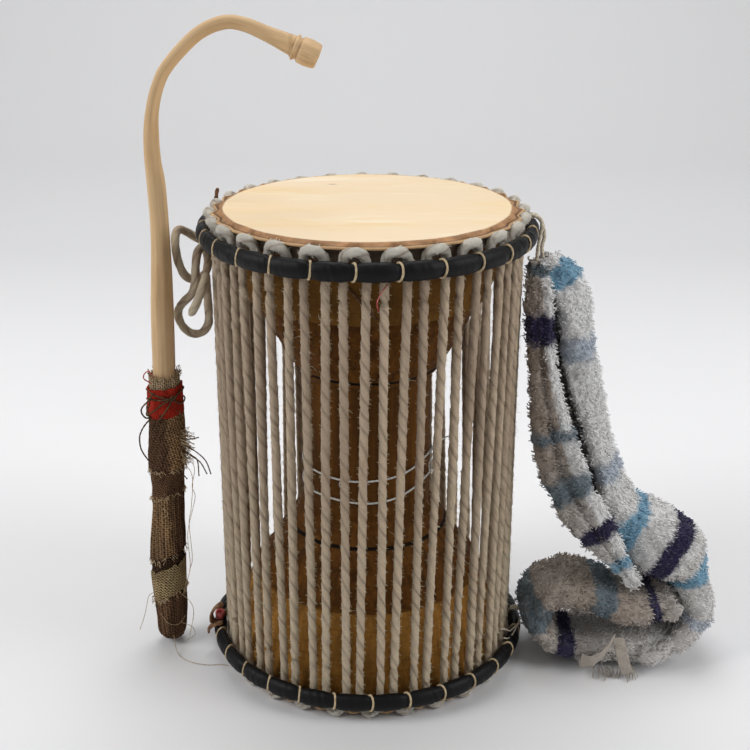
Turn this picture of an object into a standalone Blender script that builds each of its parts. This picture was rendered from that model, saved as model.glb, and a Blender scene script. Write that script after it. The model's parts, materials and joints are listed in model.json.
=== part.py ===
"""An hourglass talking drum that stands on its lower head, with its hooked beater and its shoulder strap.

A carved wooden shell, open at both ends, is narrow at its waist and widens to a bowl at each end. A skin
head closes each bowl. One long cloth cord laces the two heads together: it runs up and down around the
drum, and at each end it comes out over a padded black hoop in a small loop. Each hoop is tied down at
every loop. A strap of towelling hangs from the upper hoop, lies folded on the floor and is tied to the
lower hoop. The beater, a hooked stick with a cloth grip, stands beside the drum and leans on the spare
end of the lacing.

Metres, +Z up. The origin is the centre of the lower head, on the floor. The drum is seen from -Y.
"""
import math

import bmesh
import bpy
from mathutils import Vector

GAP = 0.0003                 # clearance between pieces that touch
SIDES = 24                   # flats around the turned pieces

# Shell: carved hourglass, open at both ends
DRUM_HEIGHT = 0.3065         # over both heads
RIM_RADIUS = 0.0890          # outside of the shell at each rim
RIM_BAND = 0.0140            # upright band below each rim
RIM_WALL = 0.0070
UPPER_BOWL_DEPTH = 0.0525    # from the upper rim down to the step under its bowl
LOWER_BOWL_DEPTH = 0.0600
BOWL_FOOT_RADIUS = 0.0755    # outside of the bowl just above its step
BOWL_STEP = 0.0030           # how far the neck is cut in below the bowl
BOWL_WALL = 0.0090
WAIST_RADIUS = 0.0415
WAIST_WALL = 0.0100
WAIST_LENGTH = 0.0900        # straight stretch at the middle
FLARE_POINTS = 3             # turned points between the waist and each step
FLARE_BOW = 0.85             # under 1, the flare bows outwards

# Heads: skin drawn over each rim, with a turned-out lip
SKIN = 0.0012
SKIRT_DEPTH = 0.0120         # how far the skin runs down the outside of the shell
LIP_OVERHANG = 0.0034        # how far the lip stands out from the skirt
LIP_DROP = 0.0022            # from the playing face down to the top of the lip
LIP_THICKNESS = 0.0013

# Lacing: one cord, with as many loops at each head
LOOPS = 27
CORD = 0.0055                # diameter
STRAND_CLEARANCE = 0.0010    # between the skin's skirt and the strands
LOOP_HALF_ANGLE = math.radians(4.0)
LOOP_RISE = 0.0035           # from the playing face down to the centre of a loop's top
LOOP_SEAT = 0.0037           # from the middle of the hoop's width inwards to a loop's top
LOOP_SHOULDER = 0.86         # where a loop turns inwards, as a share of its half angle
LOOP_SHOULDER_DROP = 0.0037  # from a loop's top down to its shoulders
LOOP_SHOULDER_OUT = 0.0006   # how far its shoulders stand out from the strands
UPPER_PHASE = math.radians(-4.3)
LOWER_PHASE = math.radians(1.0)
UPPER_SPREAD = 0.058         # the loops stand wider apart in front at the top
LOWER_SPREAD = -0.0245       # and closer together in front at the bottom

# Hoops: padded, and drawn in by a binding at each loop
HOOP_WIDTH = 0.0086
HOOP_HEIGHT = 0.0118
HOOP_DROP = 0.0139           # from the playing face to the middle of the hoop
HOOP_PINCH = 0.80            # size of the section at a binding
HOOP_BULGE = (0.27, 0.73)    # where the full section stands between two bindings
HOOP_CLEARANCE = 0.0004
HOOP_SIDES = 8

# Threads tied around the waist
THREAD = 0.0014
THREAD_DROPS = {"upper": 0.01525, "lower": 0.03025}   # down from the middle of the waist

# Spare end of the lacing: its route from the hoop, through its loops, to its cut end
SPARE_CORD = 0.0057
SPARE_STEP = 0.0096          # spacing of the points on the finished cord
ROUTE_DETAIL = 12            # fine steps from one point of a route to the next
SPARE_ROUTE = [
    (-0.0998, 0.0170, 0.2795), (-0.1045, 0.0225, 0.2775), (-0.1100, 0.0252, 0.2790),
    (-0.1155, 0.0238, 0.2830), (-0.1195, 0.0175, 0.2862), (-0.1210, 0.0100, 0.2845),
    (-0.1203, 0.0040, 0.2770), (-0.1185, 0.0025, 0.2680), (-0.1152, 0.0045, 0.2597),
    (-0.1095, 0.0103, 0.2552), (-0.1040, 0.0155, 0.2580), (-0.1020, 0.0170, 0.2655),
    (-0.1028, 0.0135, 0.2735), (-0.1048, 0.0058, 0.2776), (-0.1066, -0.0018, 0.2743),
    (-0.1072, -0.0055, 0.2665), (-0.1078, -0.0060, 0.2580), (-0.1108, -0.0035, 0.2500),
    (-0.1165, 0.0010, 0.2435), (-0.1210, 0.0055, 0.2360), (-0.1203, 0.0080, 0.2270),
    (-0.1145, 0.0075, 0.2206), (-0.1068, 0.0048, 0.2215), (-0.1017, 0.0010, 0.2285),
    (-0.1005, -0.0032, 0.2380), (-0.1003, -0.0065, 0.2475), (-0.1003, -0.0095, 0.2570),
    (-0.0996, -0.0150, 0.2645), (-0.0992, -0.0225, 0.2657), (-0.1010, -0.0282, 0.2600),
    (-0.1047, -0.0288, 0.2515), (-0.1090, -0.0255, 0.2435),
]

# Beater: a stick bent to a hook, with a cloth grip around its lower end
BEATER_STAND_OFF = 0.0245    # from the outside of the hoop to the middle of the stick
BEATER_Y = -0.0060
STICK_SIDES = 8
STICK_FOOT = 0.0100          # the stick ends this far above the floor, inside its grip
GRIP_TOP = 0.1945
GRIP_SOLE_RADIUS = 0.0060    # flat underside of the grip
# Height, sideways offset and radius of the stick, from its foot up to where the hook begins
STICK_SHAFT = [
    (0.0600, -0.0045, 0.0074), (0.1200, -0.0017, 0.0075), (0.1660, -0.0003, 0.0076),
    (0.1920, 0.0000, 0.0077), (0.2400, 0.0012, 0.0078), (0.2880, 0.0024, 0.0063), (0.3190, 0.0017, 0.0061),
    (0.3350, 0.0004, 0.0053), (0.3500, 0.0004, 0.0049), (0.3645, 0.0019, 0.0042),
]
# The hook, and the knob that it ends in
STICK_HOOK = [
    (0.3793, 0.0060, 0.0039), (0.3919, 0.0131, 0.0039), (0.4089, 0.0304, 0.0040), (0.4158, 0.0457, 0.0042),
    (0.4150, 0.0580, 0.0043), (0.4092, 0.0722, 0.0048), (0.4040, 0.0835, 0.0058), (0.4019, 0.0882, 0.0075),
    (0.4005, 0.0912, 0.0064), (0.3985, 0.0942, 0.0080), (0.3950, 0.1010, 0.0077), (0.3936, 0.1038, 0.0058),
]
# Height and outside radius of the grip
GRIP_OUTLINE = [
    (0.0040, 0.0086), (0.0120, 0.0104), (0.0300, 0.0118), (0.0680, 0.0125), (0.0980, 0.0110),
    (0.1190, 0.0112), (0.1410, 0.0124), (0.1640, 0.0113), (GRIP_TOP, 0.0109),
]
TIE_BOTTOM = 0.1700
TIE_TOP = 0.1880
TIE_THICKNESS = 0.0016

# Strap: folded towelling
STRAP_NECK_DROP = 0.0210     # from the middle of the upper hoop down to the strap's gathered neck
STRAP_REACH = 0.1310         # how far it lies out from the hoop
STRAP_WIDTH = 0.0540         # widest, seen from the front
STRAP_DEPTH = 0.0520         # widest, seen from the side
# Shares of the reach, the depth, the hanging height, the width and the depth, from the neck down
STRAP_HANGING = [
    (0.046, 0.00, 1.000, 0.22, 0.23), (0.084, 0.00, 0.965, 0.59, 0.46), (0.122, 0.00, 0.900, 0.74, 0.54),
    (0.137, 0.00, 0.780, 0.83, 0.54), (0.153, -0.02, 0.700, 0.85, 0.58), (0.206, -0.04, 0.570, 0.94, 0.62),
    (0.282, -0.06, 0.460, 1.00, 0.69), (0.427, -0.08, 0.365, 0.96, 0.81), (0.611, -0.10, 0.285, 0.93, 0.92),
    (0.763, -0.12, 0.190, 0.85, 1.00),
]
STRAP_LIE_HEIGHT = 0.0590    # top of the folds that lie on the floor
STRAP_LIE_DEPTH = 0.0600
STRAP_LIE_Y = -0.0130
STRAP_LIFT = 0.0004          # the pile keeps it just clear of the floor
# Share of the reach, and share of the full height and depth there
STRAP_LYING = [
    (0.027, 0.62), (0.076, 0.86), (0.229, 1.00), (0.458, 0.96), (0.649, 0.98), (0.840, 0.94),
    (0.947, 0.76), (1.000, 0.45),
]
STRAP_SIDES = 10

# Ties of the strap, and scraps knotted to the hoops
STRING = 0.0028
TIE_BEND_OUT = 0.0033        # from the middle of a hoop's top out to the string's first bend
UPPER_TIE_DROP = 0.0019      # how far the string falls to that bend
LOWER_TIE_RISE = 0.0006
UPPER_TIE_FALL = 0.0071      # from the middle of the hoop down to where the string leaves its outside
SCRAP_ANGLE = math.radians(-84.0)
SCRAP_SIZE = Vector((0.0036, 0.0058, 0.0042))
SCRAP_LEVELS = (-0.6, 0.2, 0.8)   # heights of its rings, as shares of its half height
SCRAP_SIDES = 6
THONG_ANGLE = math.radians(-107.7)
THONG = 0.0026
THONG_LENGTH = 0.0110
THONG_LEAN = 0.0012

# Sizes worked out from those above
HEAD_INSIDE = RIM_RADIUS + GAP
HEAD_OUTSIDE = HEAD_INSIDE + SKIN
LIP_RADIUS = HEAD_OUTSIDE + LIP_OVERHANG
SHELL_BOTTOM = SKIN + GAP
SHELL_TOP = DRUM_HEIGHT - SKIN - GAP
STRAND_RADIUS = HEAD_OUTSIDE + STRAND_CLEARANCE + CORD / 2
HOOP_RADIUS = STRAND_RADIUS + CORD / 2 + HOOP_CLEARANCE + HOOP_WIDTH / 2
HOOP_OUTSIDE = HOOP_RADIUS + HOOP_WIDTH / 2
UPPER_HOOP = DRUM_HEIGHT - HOOP_DROP
LOWER_HOOP = HOOP_DROP
BEATER_X = -(HOOP_OUTSIDE + BEATER_STAND_OFF)

WIDTH_WAY = Vector((1, 0, 0))
DEPTH_WAY = Vector((0, 1, 0))
UP = Vector((0, 0, 1))


def finish(name, colour, roughness):
    """One material, with the colour and roughness of the piece."""
    material = bpy.data.materials.new(name)
    material.use_nodes = True
    shader = material.node_tree.nodes["Principled BSDF"]
    shader.inputs["Base Color"].default_value = (*colour, 1.0)
    shader.inputs["Roughness"].default_value = roughness
    return material


def add_mesh(name, mesh_data, material, flat_angle=40.0):
    """Put a finished bmesh in the scene as an object of its own."""
    bmesh.ops.recalc_face_normals(mesh_data, faces=mesh_data.faces)
    mesh = bpy.data.meshes.new(name)
    mesh_data.to_mesh(mesh)
    mesh_data.free()
    mesh.materials.append(material)
    mesh.shade_smooth()
    mesh.set_sharp_from_angle(angle=math.radians(flat_angle))
    part = bpy.data.objects.new(name, mesh)
    bpy.context.collection.objects.link(part)
    return part


def skin_rings(name, rings, material, closed=False):
    """Join rings of points into one solid. A ring of one point is a tip, and open ends are capped."""
    work = bmesh.new()
    made = [[work.verts.new(point) for point in ring] for ring in rings]
    pairs = list(zip(made, made[1:]))
    if closed:
        pairs.append((made[-1], made[0]))
    for first, second in pairs:
        count = max(len(first), len(second))
        for i in range(count):
            j = (i + 1) % count
            corners = [first[i % len(first)], first[j % len(first)], second[j % len(second)],
                       second[i % len(second)]]
            work.faces.new(list(dict.fromkeys(corners)))
    if not closed:
        for ring in (made[0], made[-1]):
            if len(ring) > 2:
                work.faces.new(ring)
    return add_mesh(name, work, material)


def turned(name, outline, material, closed=True):
    """A solid turned about Z from (radius, height) points. A closed outline doesn't touch the axis."""
    rings = []
    for radius, height in outline:
        if radius == 0:
            rings.append([Vector((0, 0, height))])
            continue
        angles = (math.tau * i / SIDES for i in range(SIDES))
        rings.append([Vector((radius * math.cos(a), radius * math.sin(a), height)) for a in angles])
    return skin_rings(name, rings, material, closed)


def around(radius, angle, height):
    """A point at an angle from the front, positive to the right."""
    return Vector((radius * math.sin(angle), -radius * math.cos(angle), height))


def shell_outline():
    """Outside from the upper rim down, then the bore from the lower rim up."""
    middle = DRUM_HEIGHT / 2
    neck_radius = BOWL_FOOT_RADIUS - BOWL_STEP
    outside = []
    bore = []
    for side, rim, bowl_depth in ((1, SHELL_TOP, UPPER_BOWL_DEPTH), (-1, SHELL_BOTTOM, LOWER_BOWL_DEPTH)):
        step = rim - side * bowl_depth
        waist_end = middle + side * WAIST_LENGTH / 2
        half_outside = [(RIM_RADIUS, rim), (RIM_RADIUS, rim - side * RIM_BAND), (BOWL_FOOT_RADIUS, step),
                        (neck_radius, step)]
        half_bore = [(RIM_RADIUS - RIM_WALL, rim), (RIM_RADIUS - RIM_WALL, rim - side * RIM_BAND),
                     (neck_radius - BOWL_WALL, step)]
        for i in range(1, FLARE_POINTS + 1):
            share = 1 - i / (FLARE_POINTS + 1)
            height = waist_end + (step - waist_end) * share
            flare = WAIST_RADIUS + (neck_radius - WAIST_RADIUS) * share ** FLARE_BOW
            wall = WAIST_WALL + (BOWL_WALL - WAIST_WALL) * share
            half_outside.append((flare, height))
            half_bore.append((flare - wall, height))
        half_outside.append((WAIST_RADIUS, waist_end))
        half_bore.append((WAIST_RADIUS - WAIST_WALL, waist_end))
        outside.append(half_outside)
        bore.append(half_bore)
    return outside[0] + outside[1][::-1] + bore[1] + bore[0][::-1]


def head_outline(plane, side):
    """A head from its playing face, over its lip and skirt, and back across its underside."""
    lip_top = LIP_DROP
    lip_bottom = LIP_DROP + LIP_THICKNESS
    points = [
        (0, 0), (HEAD_INSIDE, 0), (HEAD_OUTSIDE, lip_top), (LIP_RADIUS, lip_top), (LIP_RADIUS, lip_bottom),
        (HEAD_OUTSIDE, lip_bottom), (HEAD_OUTSIDE, SKIRT_DEPTH), (HEAD_INSIDE, SKIRT_DEPTH),
        (HEAD_INSIDE, SKIN), (0, SKIN),
    ]
    return [(radius, plane - side * depth) for radius, depth in points]


def loop_angles(phase, spread):
    """Angles of the loops of one head, from the front. They stand slightly unevenly."""
    angles = []
    for i in range(LOOPS):
        even = phase + math.tau * i / LOOPS
        angles.append(even + spread * (math.sin(even) - math.sin(phase)))
    return angles


def hoop(name, height, angles, material):
    """A padded ring, thick between its bindings and drawn in at each of them."""
    rings = []
    for i, angle in enumerate(angles):
        following = angles[(i + 1) % LOOPS] + (math.tau if i == LOOPS - 1 else 0)
        for share in (0.0, *HOOP_BULGE):
            size = HOOP_PINCH if share == 0.0 else 1.0
            ring = []
            for corner in range(HOOP_SIDES):
                turn = math.tau * corner / HOOP_SIDES
                radius = HOOP_RADIUS + size * HOOP_WIDTH / 2 * math.cos(turn)
                level = height + size * HOOP_HEIGHT / 2 * math.sin(turn)
                ring.append(around(radius, angle + (following - angle) * share, level))
            rings.append(ring)
    return skin_rings(name, rings, material, closed=True)


def cord_tube(name, points, diameter, material, cyclic=False, detail=2):
    """A round cord through the given points."""
    curve = bpy.data.curves.new(name, "CURVE")
    curve.dimensions = "3D"
    curve.bevel_depth = diameter / 2
    curve.bevel_resolution = detail
    curve.use_fill_caps = not cyclic
    spline = curve.splines.new("POLY")
    spline.points.add(len(points) - 1)
    for spline_point, point in zip(spline.points, points):
        spline_point.co = (*point, 1.0)
    spline.use_cyclic_u = cyclic
    curve.materials.append(material)
    part = bpy.data.objects.new(name, curve)
    bpy.context.collection.objects.link(part)
    return part


def lacing_loop(centre, plane, side):
    """One loop over a hoop: out from behind it, across and back in."""
    top = plane - side * LOOP_RISE
    foot = plane - side * (HOOP_DROP + HOOP_HEIGHT / 2)
    shoulder = (STRAND_RADIUS + LOOP_SHOULDER_OUT, top - side * LOOP_SHOULDER_DROP)
    shape = [
        (-1.0, STRAND_RADIUS, foot), (-LOOP_SHOULDER, *shoulder), (0.0, HOOP_RADIUS - LOOP_SEAT, top),
        (LOOP_SHOULDER, *shoulder), (1.0, STRAND_RADIUS, foot),
    ]
    return [around(radius, centre + LOOP_HALF_ANGLE * turn, level) for turn, radius, level in shape]


def lacing_route():
    """The whole lacing, around the drum: over one upper loop, down, under one lower loop, and up again."""
    route = []
    upper = loop_angles(UPPER_PHASE, UPPER_SPREAD)
    # Each lower loop stands half a step on from the upper loop before it
    lower = loop_angles(LOWER_PHASE, LOWER_SPREAD)
    for upper_angle, lower_angle in zip(upper, lower):
        route += lacing_loop(upper_angle, DRUM_HEIGHT, 1)
        route += lacing_loop(lower_angle, 0.0, -1)
    return route


def smooth_route(points, spacing):
    """Points at an even spacing along a smooth curve through the given ones."""
    ends = [2 * points[0] - points[1]] + points + [2 * points[-1] - points[-2]]
    fine = []
    for a, b, c, d in zip(ends, ends[1:], ends[2:], ends[3:]):
        for i in range(ROUTE_DETAIL):
            t = i / ROUTE_DETAIL
            fine.append(0.5 * (2 * b + (c - a) * t + (2 * a - 5 * b + 4 * c - d) * t * t
                               + (3 * b - a - 3 * c + d) * t ** 3))
    fine.append(points[-1])
    length = sum((after - before).length for before, after in zip(fine, fine[1:]))
    steps = max(2, round(length / spacing))
    picked = [fine[0]]
    travelled = 0.0
    for before, after in zip(fine, fine[1:]):
        travelled += (after - before).length
        if travelled >= length * len(picked) / steps and len(picked) < steps:
            picked.append(after)
    return picked + [fine[-1]]


def section(centre, width_way, depth_way, half_width, half_depth, sides):
    """A ring of points around a centre, in the plane of the two directions."""
    ring = []
    for corner in range(sides):
        turn = math.tau * corner / sides
        across = width_way * (half_width * math.cos(turn))
        ring.append(centre + across + depth_way * (half_depth * math.sin(turn)))
    return ring


def upright_rings(stations, sides):
    """Rings around a route in an XZ plane. A station is a centre, its half width and its half depth."""
    rings = []
    for i, (centre, half_width, half_depth) in enumerate(stations):
        before = stations[max(i - 1, 0)][0]
        after = stations[min(i + 1, len(stations) - 1)][0]
        along = Vector((after.x - before.x, 0, after.z - before.z)).normalized()
        rings.append(section(centre, DEPTH_WAY.cross(along), DEPTH_WAY, half_width, half_depth, sides))
    return rings


def reading(outline, height, column):
    """A value read from an outline of (height, value, ...) rows, in a straight line between its rows."""
    for low, high in zip(outline, outline[1:]):
        if height <= high[0]:
            share = max(0.0, (height - low[0]) / (high[0] - low[0]))
            return low[column] + (high[column] - low[column]) * share
    return outline[-1][column]


def shaft_rings(heights, radius_of, extra=0.0):
    """Level rings around the lower part of the stick, at the given heights."""
    rings = []
    for height in heights:
        centre = Vector((BEATER_X + reading(STICK_SHAFT, height, 1), BEATER_Y, height))
        radius = radius_of(height) + extra
        rings.append(section(centre, WIDTH_WAY, DEPTH_WAY, radius, radius, STICK_SIDES))
    return rings


def stick_radius(height):
    """Radius of the straight part of the stick."""
    return reading(STICK_SHAFT, height, 2)


def grip_radius(height):
    """Outside radius of the cloth grip."""
    return reading(GRIP_OUTLINE, height, 1)


def beater(wood, cloth, red):
    """The hooked stick, the cloth grip that covers its lower end, and the tie around the grip."""
    covered = [STICK_FOOT] + [row[0] for row in STICK_SHAFT if row[0] < GRIP_TOP] + [GRIP_TOP]
    bare = [row for row in STICK_SHAFT if row[0] > GRIP_TOP] + STICK_HOOK
    stations = [(Vector((BEATER_X + across, BEATER_Y, height)), radius, radius)
                for height, across, radius in bare]
    shaft = shaft_rings(covered, stick_radius)
    skin_rings("beater_stick", shaft + upright_rings(stations, STICK_SIDES), wood)

    outside = shaft_rings([0.0], lambda height: GRIP_SOLE_RADIUS)
    outside += shaft_rings([row[0] for row in GRIP_OUTLINE], grip_radius)
    inside = shaft_rings([*covered[::-1], STICK_FOOT - GAP], stick_radius, GAP)
    skin_rings("beater_grip", outside + inside, cloth)

    heights = [TIE_BOTTOM, TIE_TOP]
    band = shaft_rings(heights[::-1], grip_radius, GAP) + shaft_rings(heights, grip_radius, TIE_THICKNESS)
    skin_rings("beater_grip_tie", band, red, closed=True)


def strap(cloth):
    """The towelling strap: a bundle that hangs from its neck, joined to the folds that lie on the floor."""
    neck = UPPER_HOOP - STRAP_NECK_DROP
    hanging = []
    for reach, forward, fall, width, depth in STRAP_HANGING:
        centre = Vector((HOOP_OUTSIDE + STRAP_REACH * reach, STRAP_DEPTH * forward, neck * fall))
        hanging.append((centre, STRAP_WIDTH / 2 * width, STRAP_DEPTH / 2 * depth))
    part = skin_rings("towel_strap", upright_rings(hanging, STRAP_SIDES), cloth)
    lying = []
    for reach, share in STRAP_LYING:
        half_height = STRAP_LIE_HEIGHT / 2 * share
        centre = Vector((HOOP_OUTSIDE + STRAP_REACH * reach, STRAP_LIE_Y, STRAP_LIFT + half_height))
        lying.append((centre, STRAP_LIE_DEPTH / 2 * share, half_height))
    rings = [section(centre, DEPTH_WAY, UP, half_depth, half_height, STRAP_SIDES)
             for centre, half_depth, half_height in lying]
    folds = skin_rings("strap_folds", rings, cloth)
    folds.hide_render = True
    folds.display_type = "WIRE"
    join = part.modifiers.new("Folds on the floor", "BOOLEAN")
    join.operation = "UNION"
    join.object = folds


def strap_ties(string):
    """A string from each hoop to the end of the strap that it holds."""
    clear = STRING / 2 + GAP * 2
    neck = UPPER_HOOP - STRAP_NECK_DROP
    outside = HOOP_OUTSIDE + clear
    top = UPPER_HOOP + HOOP_HEIGHT / 2 + clear
    upper = [
        Vector((HOOP_RADIUS, 0, top)), Vector((HOOP_RADIUS + TIE_BEND_OUT, 0, top - UPPER_TIE_DROP)),
        Vector((outside, 0, UPPER_HOOP)), Vector((outside, 0, UPPER_HOOP - UPPER_TIE_FALL)),
        Vector((HOOP_OUTSIDE + STRAP_REACH * STRAP_HANGING[0][0], 0, neck + GAP * 2)),
    ]
    cord_tube("strap_tie_upper", upper, STRING, string, detail=1)
    tie_top = LOWER_HOOP + HOOP_HEIGHT / 2 + clear
    folds_end = HOOP_OUTSIDE + STRAP_REACH * STRAP_LYING[0][0]
    lower = [
        Vector((HOOP_RADIUS, 0, tie_top)),
        Vector((HOOP_RADIUS + TIE_BEND_OUT, 0, tie_top + LOWER_TIE_RISE)),
        Vector((folds_end - GAP * 2, 0, tie_top)),
    ]
    cord_tube("strap_tie_lower", lower, STRING, string, detail=1)


def scraps(rag, leather):
    """A knotted scrap of rag on the lower hoop, and a thong's end that stands up behind the upper hoop."""
    height = LOWER_HOOP + HOOP_HEIGHT / 2 + GAP + SCRAP_SIZE.z
    centre = around(HOOP_RADIUS, SCRAP_ANGLE, height)
    rings = [[centre - UP * SCRAP_SIZE.z]]
    for rise in SCRAP_LEVELS:
        girth = math.sqrt(1 - rise * rise)
        level = centre + UP * (rise * SCRAP_SIZE.z)
        rings.append(section(level, WIDTH_WAY, DEPTH_WAY, girth * SCRAP_SIZE.x, girth * SCRAP_SIZE.y,
                             SCRAP_SIDES))
    rings.append([centre + UP * SCRAP_SIZE.z])
    skin_rings("rag_knot", rings, rag)

    foot = around(HOOP_RADIUS, THONG_ANGLE, UPPER_HOOP + HOOP_HEIGHT / 2 + GAP * 2)
    tip = foot + Vector((THONG_LEAN, 0, THONG_LENGTH))
    cord_tube("thong_end", [foot, tip], THONG, leather, detail=1)


def build():
    """Make every piece of the drum, then its strap and its beater."""
    for old in list(bpy.data.objects):
        bpy.data.objects.remove(old, do_unlink=True)

    wood = finish("carved wood", (0.36, 0.18, 0.06), 0.5)
    skin = finish("goat skin", (0.80, 0.67, 0.42), 0.45)
    padding = finish("black binding", (0.02, 0.02, 0.022), 0.5)
    cord = finish("cloth cord", (0.60, 0.51, 0.38), 0.9)
    thread = finish("white thread", (0.70, 0.66, 0.58), 0.8)
    pale_wood = finish("peeled branch", (0.62, 0.49, 0.28), 0.5)
    grip_cloth = finish("brown sacking", (0.13, 0.08, 0.04), 0.9)
    red_cloth = finish("red cloth", (0.45, 0.03, 0.03), 0.8)
    towelling = finish("towelling", (0.62, 0.61, 0.59), 0.95)
    rag = finish("pink rag", (0.45, 0.10, 0.13), 0.9)
    leather = finish("brown leather", (0.16, 0.08, 0.04), 0.7)

    turned("shell", shell_outline(), wood)
    turned("upper_head", head_outline(DRUM_HEIGHT, 1), skin, closed=False)
    turned("lower_head", head_outline(0.0, -1), skin, closed=False)
    hoop("upper_hoop", UPPER_HOOP, loop_angles(UPPER_PHASE, UPPER_SPREAD), padding)
    hoop("lower_hoop", LOWER_HOOP, loop_angles(LOWER_PHASE, LOWER_SPREAD), padding)
    cord_tube("tension_cord", lacing_route(), CORD, cord, cyclic=True, detail=1)
    near = WAIST_RADIUS + GAP
    for place, drop in THREAD_DROPS.items():
        height = DRUM_HEIGHT / 2 - drop
        turned("waist_thread_" + place, [(near, height + THREAD / 2), (near + THREAD, height),
                                         (near, height - THREAD / 2)], thread)
    spare_points = smooth_route([Vector(point) for point in SPARE_ROUTE], SPARE_STEP)
    cord_tube("spare_cord", spare_points, SPARE_CORD, cord)
    beater(pale_wood, grip_cloth, red_cloth)
    strap(towelling)
    strap_ties(thread)
    scraps(rag, leather)


build()
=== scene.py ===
import json
import math
import random

import bmesh
import bpy
import numpy as np
from bpy.props import FloatProperty, FloatVectorProperty, IntProperty, PointerProperty
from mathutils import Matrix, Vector, noise

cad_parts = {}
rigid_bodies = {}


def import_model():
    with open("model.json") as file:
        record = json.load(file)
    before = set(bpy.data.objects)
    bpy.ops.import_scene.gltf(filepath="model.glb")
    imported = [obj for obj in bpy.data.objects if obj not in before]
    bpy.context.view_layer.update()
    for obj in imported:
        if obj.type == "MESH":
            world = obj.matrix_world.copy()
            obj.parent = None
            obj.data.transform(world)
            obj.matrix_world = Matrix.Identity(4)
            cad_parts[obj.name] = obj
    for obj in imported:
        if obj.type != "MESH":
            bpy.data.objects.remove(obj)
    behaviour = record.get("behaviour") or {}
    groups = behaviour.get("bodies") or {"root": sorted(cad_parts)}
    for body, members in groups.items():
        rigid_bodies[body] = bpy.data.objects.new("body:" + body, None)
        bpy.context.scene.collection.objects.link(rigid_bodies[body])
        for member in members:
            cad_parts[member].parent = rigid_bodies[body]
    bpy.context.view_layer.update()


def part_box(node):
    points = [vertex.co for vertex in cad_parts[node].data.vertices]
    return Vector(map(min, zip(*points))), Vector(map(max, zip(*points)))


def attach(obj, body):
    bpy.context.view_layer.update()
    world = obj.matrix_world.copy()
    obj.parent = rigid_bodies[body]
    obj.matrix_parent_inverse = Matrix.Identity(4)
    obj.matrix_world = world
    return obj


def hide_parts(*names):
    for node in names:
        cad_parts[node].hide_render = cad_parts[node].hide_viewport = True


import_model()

bl_info = {
    "name": "Hourglass talking drum",
    "version": (1, 0, 0),
    "blender": (4, 5, 0),
    "location": "View3D > Sidebar > Drum",
    "description": "Builds a rope-laced hourglass drum with its hooked beater and its towel strap",
    "category": "Add Mesh",
}

TAU = math.tau
FLOOR_GAP = 0.0003


# Numbers, routes and meshes


def smooth_route(points, step):
    """A Catmull-Rom line through the points, with about one point in each step of its length."""
    points = [Vector(p) for p in points]
    ends = [points[0] * 2 - points[1]] + points + [points[-1] * 2 - points[-2]]
    line = []
    for a, b, c, d in zip(ends, ends[1:], ends[2:], ends[3:]):
        count = max(2, round((c - b).length / step))
        for k in range(count):
            t = k / count
            line.append(0.5 * (2 * b + (c - a) * t + (2 * a - 5 * b + 4 * c - d) * t ** 2
                               + (3 * b - a - 3 * c + d) * t ** 3))
    return line + [points[-1]]


def round_the_drum(turn, radius, height):
    """The point at an angle from the front, counted to the right, in radians."""
    return Vector((radius * math.sin(turn), -radius * math.cos(turn), height))


def between(rows, place):
    """The rows' numbers at a place along them, smoothly joined; a row begins with its place."""
    rows = np.asarray(rows, float)
    place = float(np.clip(place, rows[0, 0], rows[-1, 0]))
    i = int(np.clip(np.searchsorted(rows[:, 0], place, "right") - 1, 0, len(rows) - 2))
    before, after = max(i - 1, 0), min(i + 2, len(rows) - 1)
    span = rows[i + 1, 0] - rows[i, 0]
    t = (place - rows[i, 0]) / span
    slope_in = (rows[i + 1, 1:] - rows[before, 1:]) / (rows[i + 1, 0] - rows[before, 0]) * span
    slope_out = (rows[after, 1:] - rows[i, 1:]) / (rows[after, 0] - rows[i, 0]) * span
    return ((2 * t ** 3 - 3 * t ** 2 + 1) * rows[i, 1:] + (t ** 3 - 2 * t ** 2 + t) * slope_in
            + (3 * t ** 2 - 2 * t ** 3) * rows[i + 1, 1:] + (t ** 3 - t ** 2) * slope_out)


def nearest(turn, angles):
    """How far an angle is from the nearest of several, in radians."""
    return float(np.min(np.abs((turn - angles + math.pi) % TAU - math.pi)))


def way_at(line, i):
    """The direction of a line at one of its points."""
    return (line[min(i + 1, len(line) - 1)] - line[max(i - 1, 0)]).normalized()


def length_of(line):
    return sum((b - a).length for a, b in zip(line, line[1:]))


def level_ring(sides, radius, height):
    return [round_the_drum(TAU * k / sides, radius, height) for k in range(sides)]


def new_object(name, data):
    made = bpy.data.objects.new(name, data)
    bpy.context.scene.collection.objects.link(made)
    return made


def settled(piece):
    """The plain mesh that an object's modifiers make; they are removed from it."""
    bpy.context.view_layer.update()
    mesh = bpy.data.meshes.new_from_object(piece.evaluated_get(bpy.context.evaluated_depsgraph_get()))
    piece.modifiers.clear()
    return mesh


def rings_mesh(name, rings, material, closed=False, attributes=None):
    """A smooth skin over rings of points: open ends get a lid, and closed joins the last to the first."""
    rings = np.asarray([[tuple(p) for p in ring] for ring in rings])
    count, sides = rings.shape[:2]
    mesh = bpy.data.meshes.new(name)
    rows = count if closed else count - 1
    faces = [(i * sides + k, i * sides + (k + 1) % sides,
              (i + 1) % count * sides + (k + 1) % sides, (i + 1) % count * sides + k)
             for i in range(rows) for k in range(sides)]
    if not closed:
        faces += [tuple(range(sides))[::-1], tuple((count - 1) * sides + k for k in range(sides))]
    mesh.from_pydata(rings.reshape(-1, 3).tolist(), [], faces)
    for label, values in (attributes or {}).items():
        flat = np.ndim(values) == 1
        layer = mesh.attributes.new(label, "FLOAT" if flat else "FLOAT_VECTOR", "POINT")
        layer.data.foreach_set("value" if flat else "vector", np.ravel(values))
    return outward(name, mesh, material)


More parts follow.
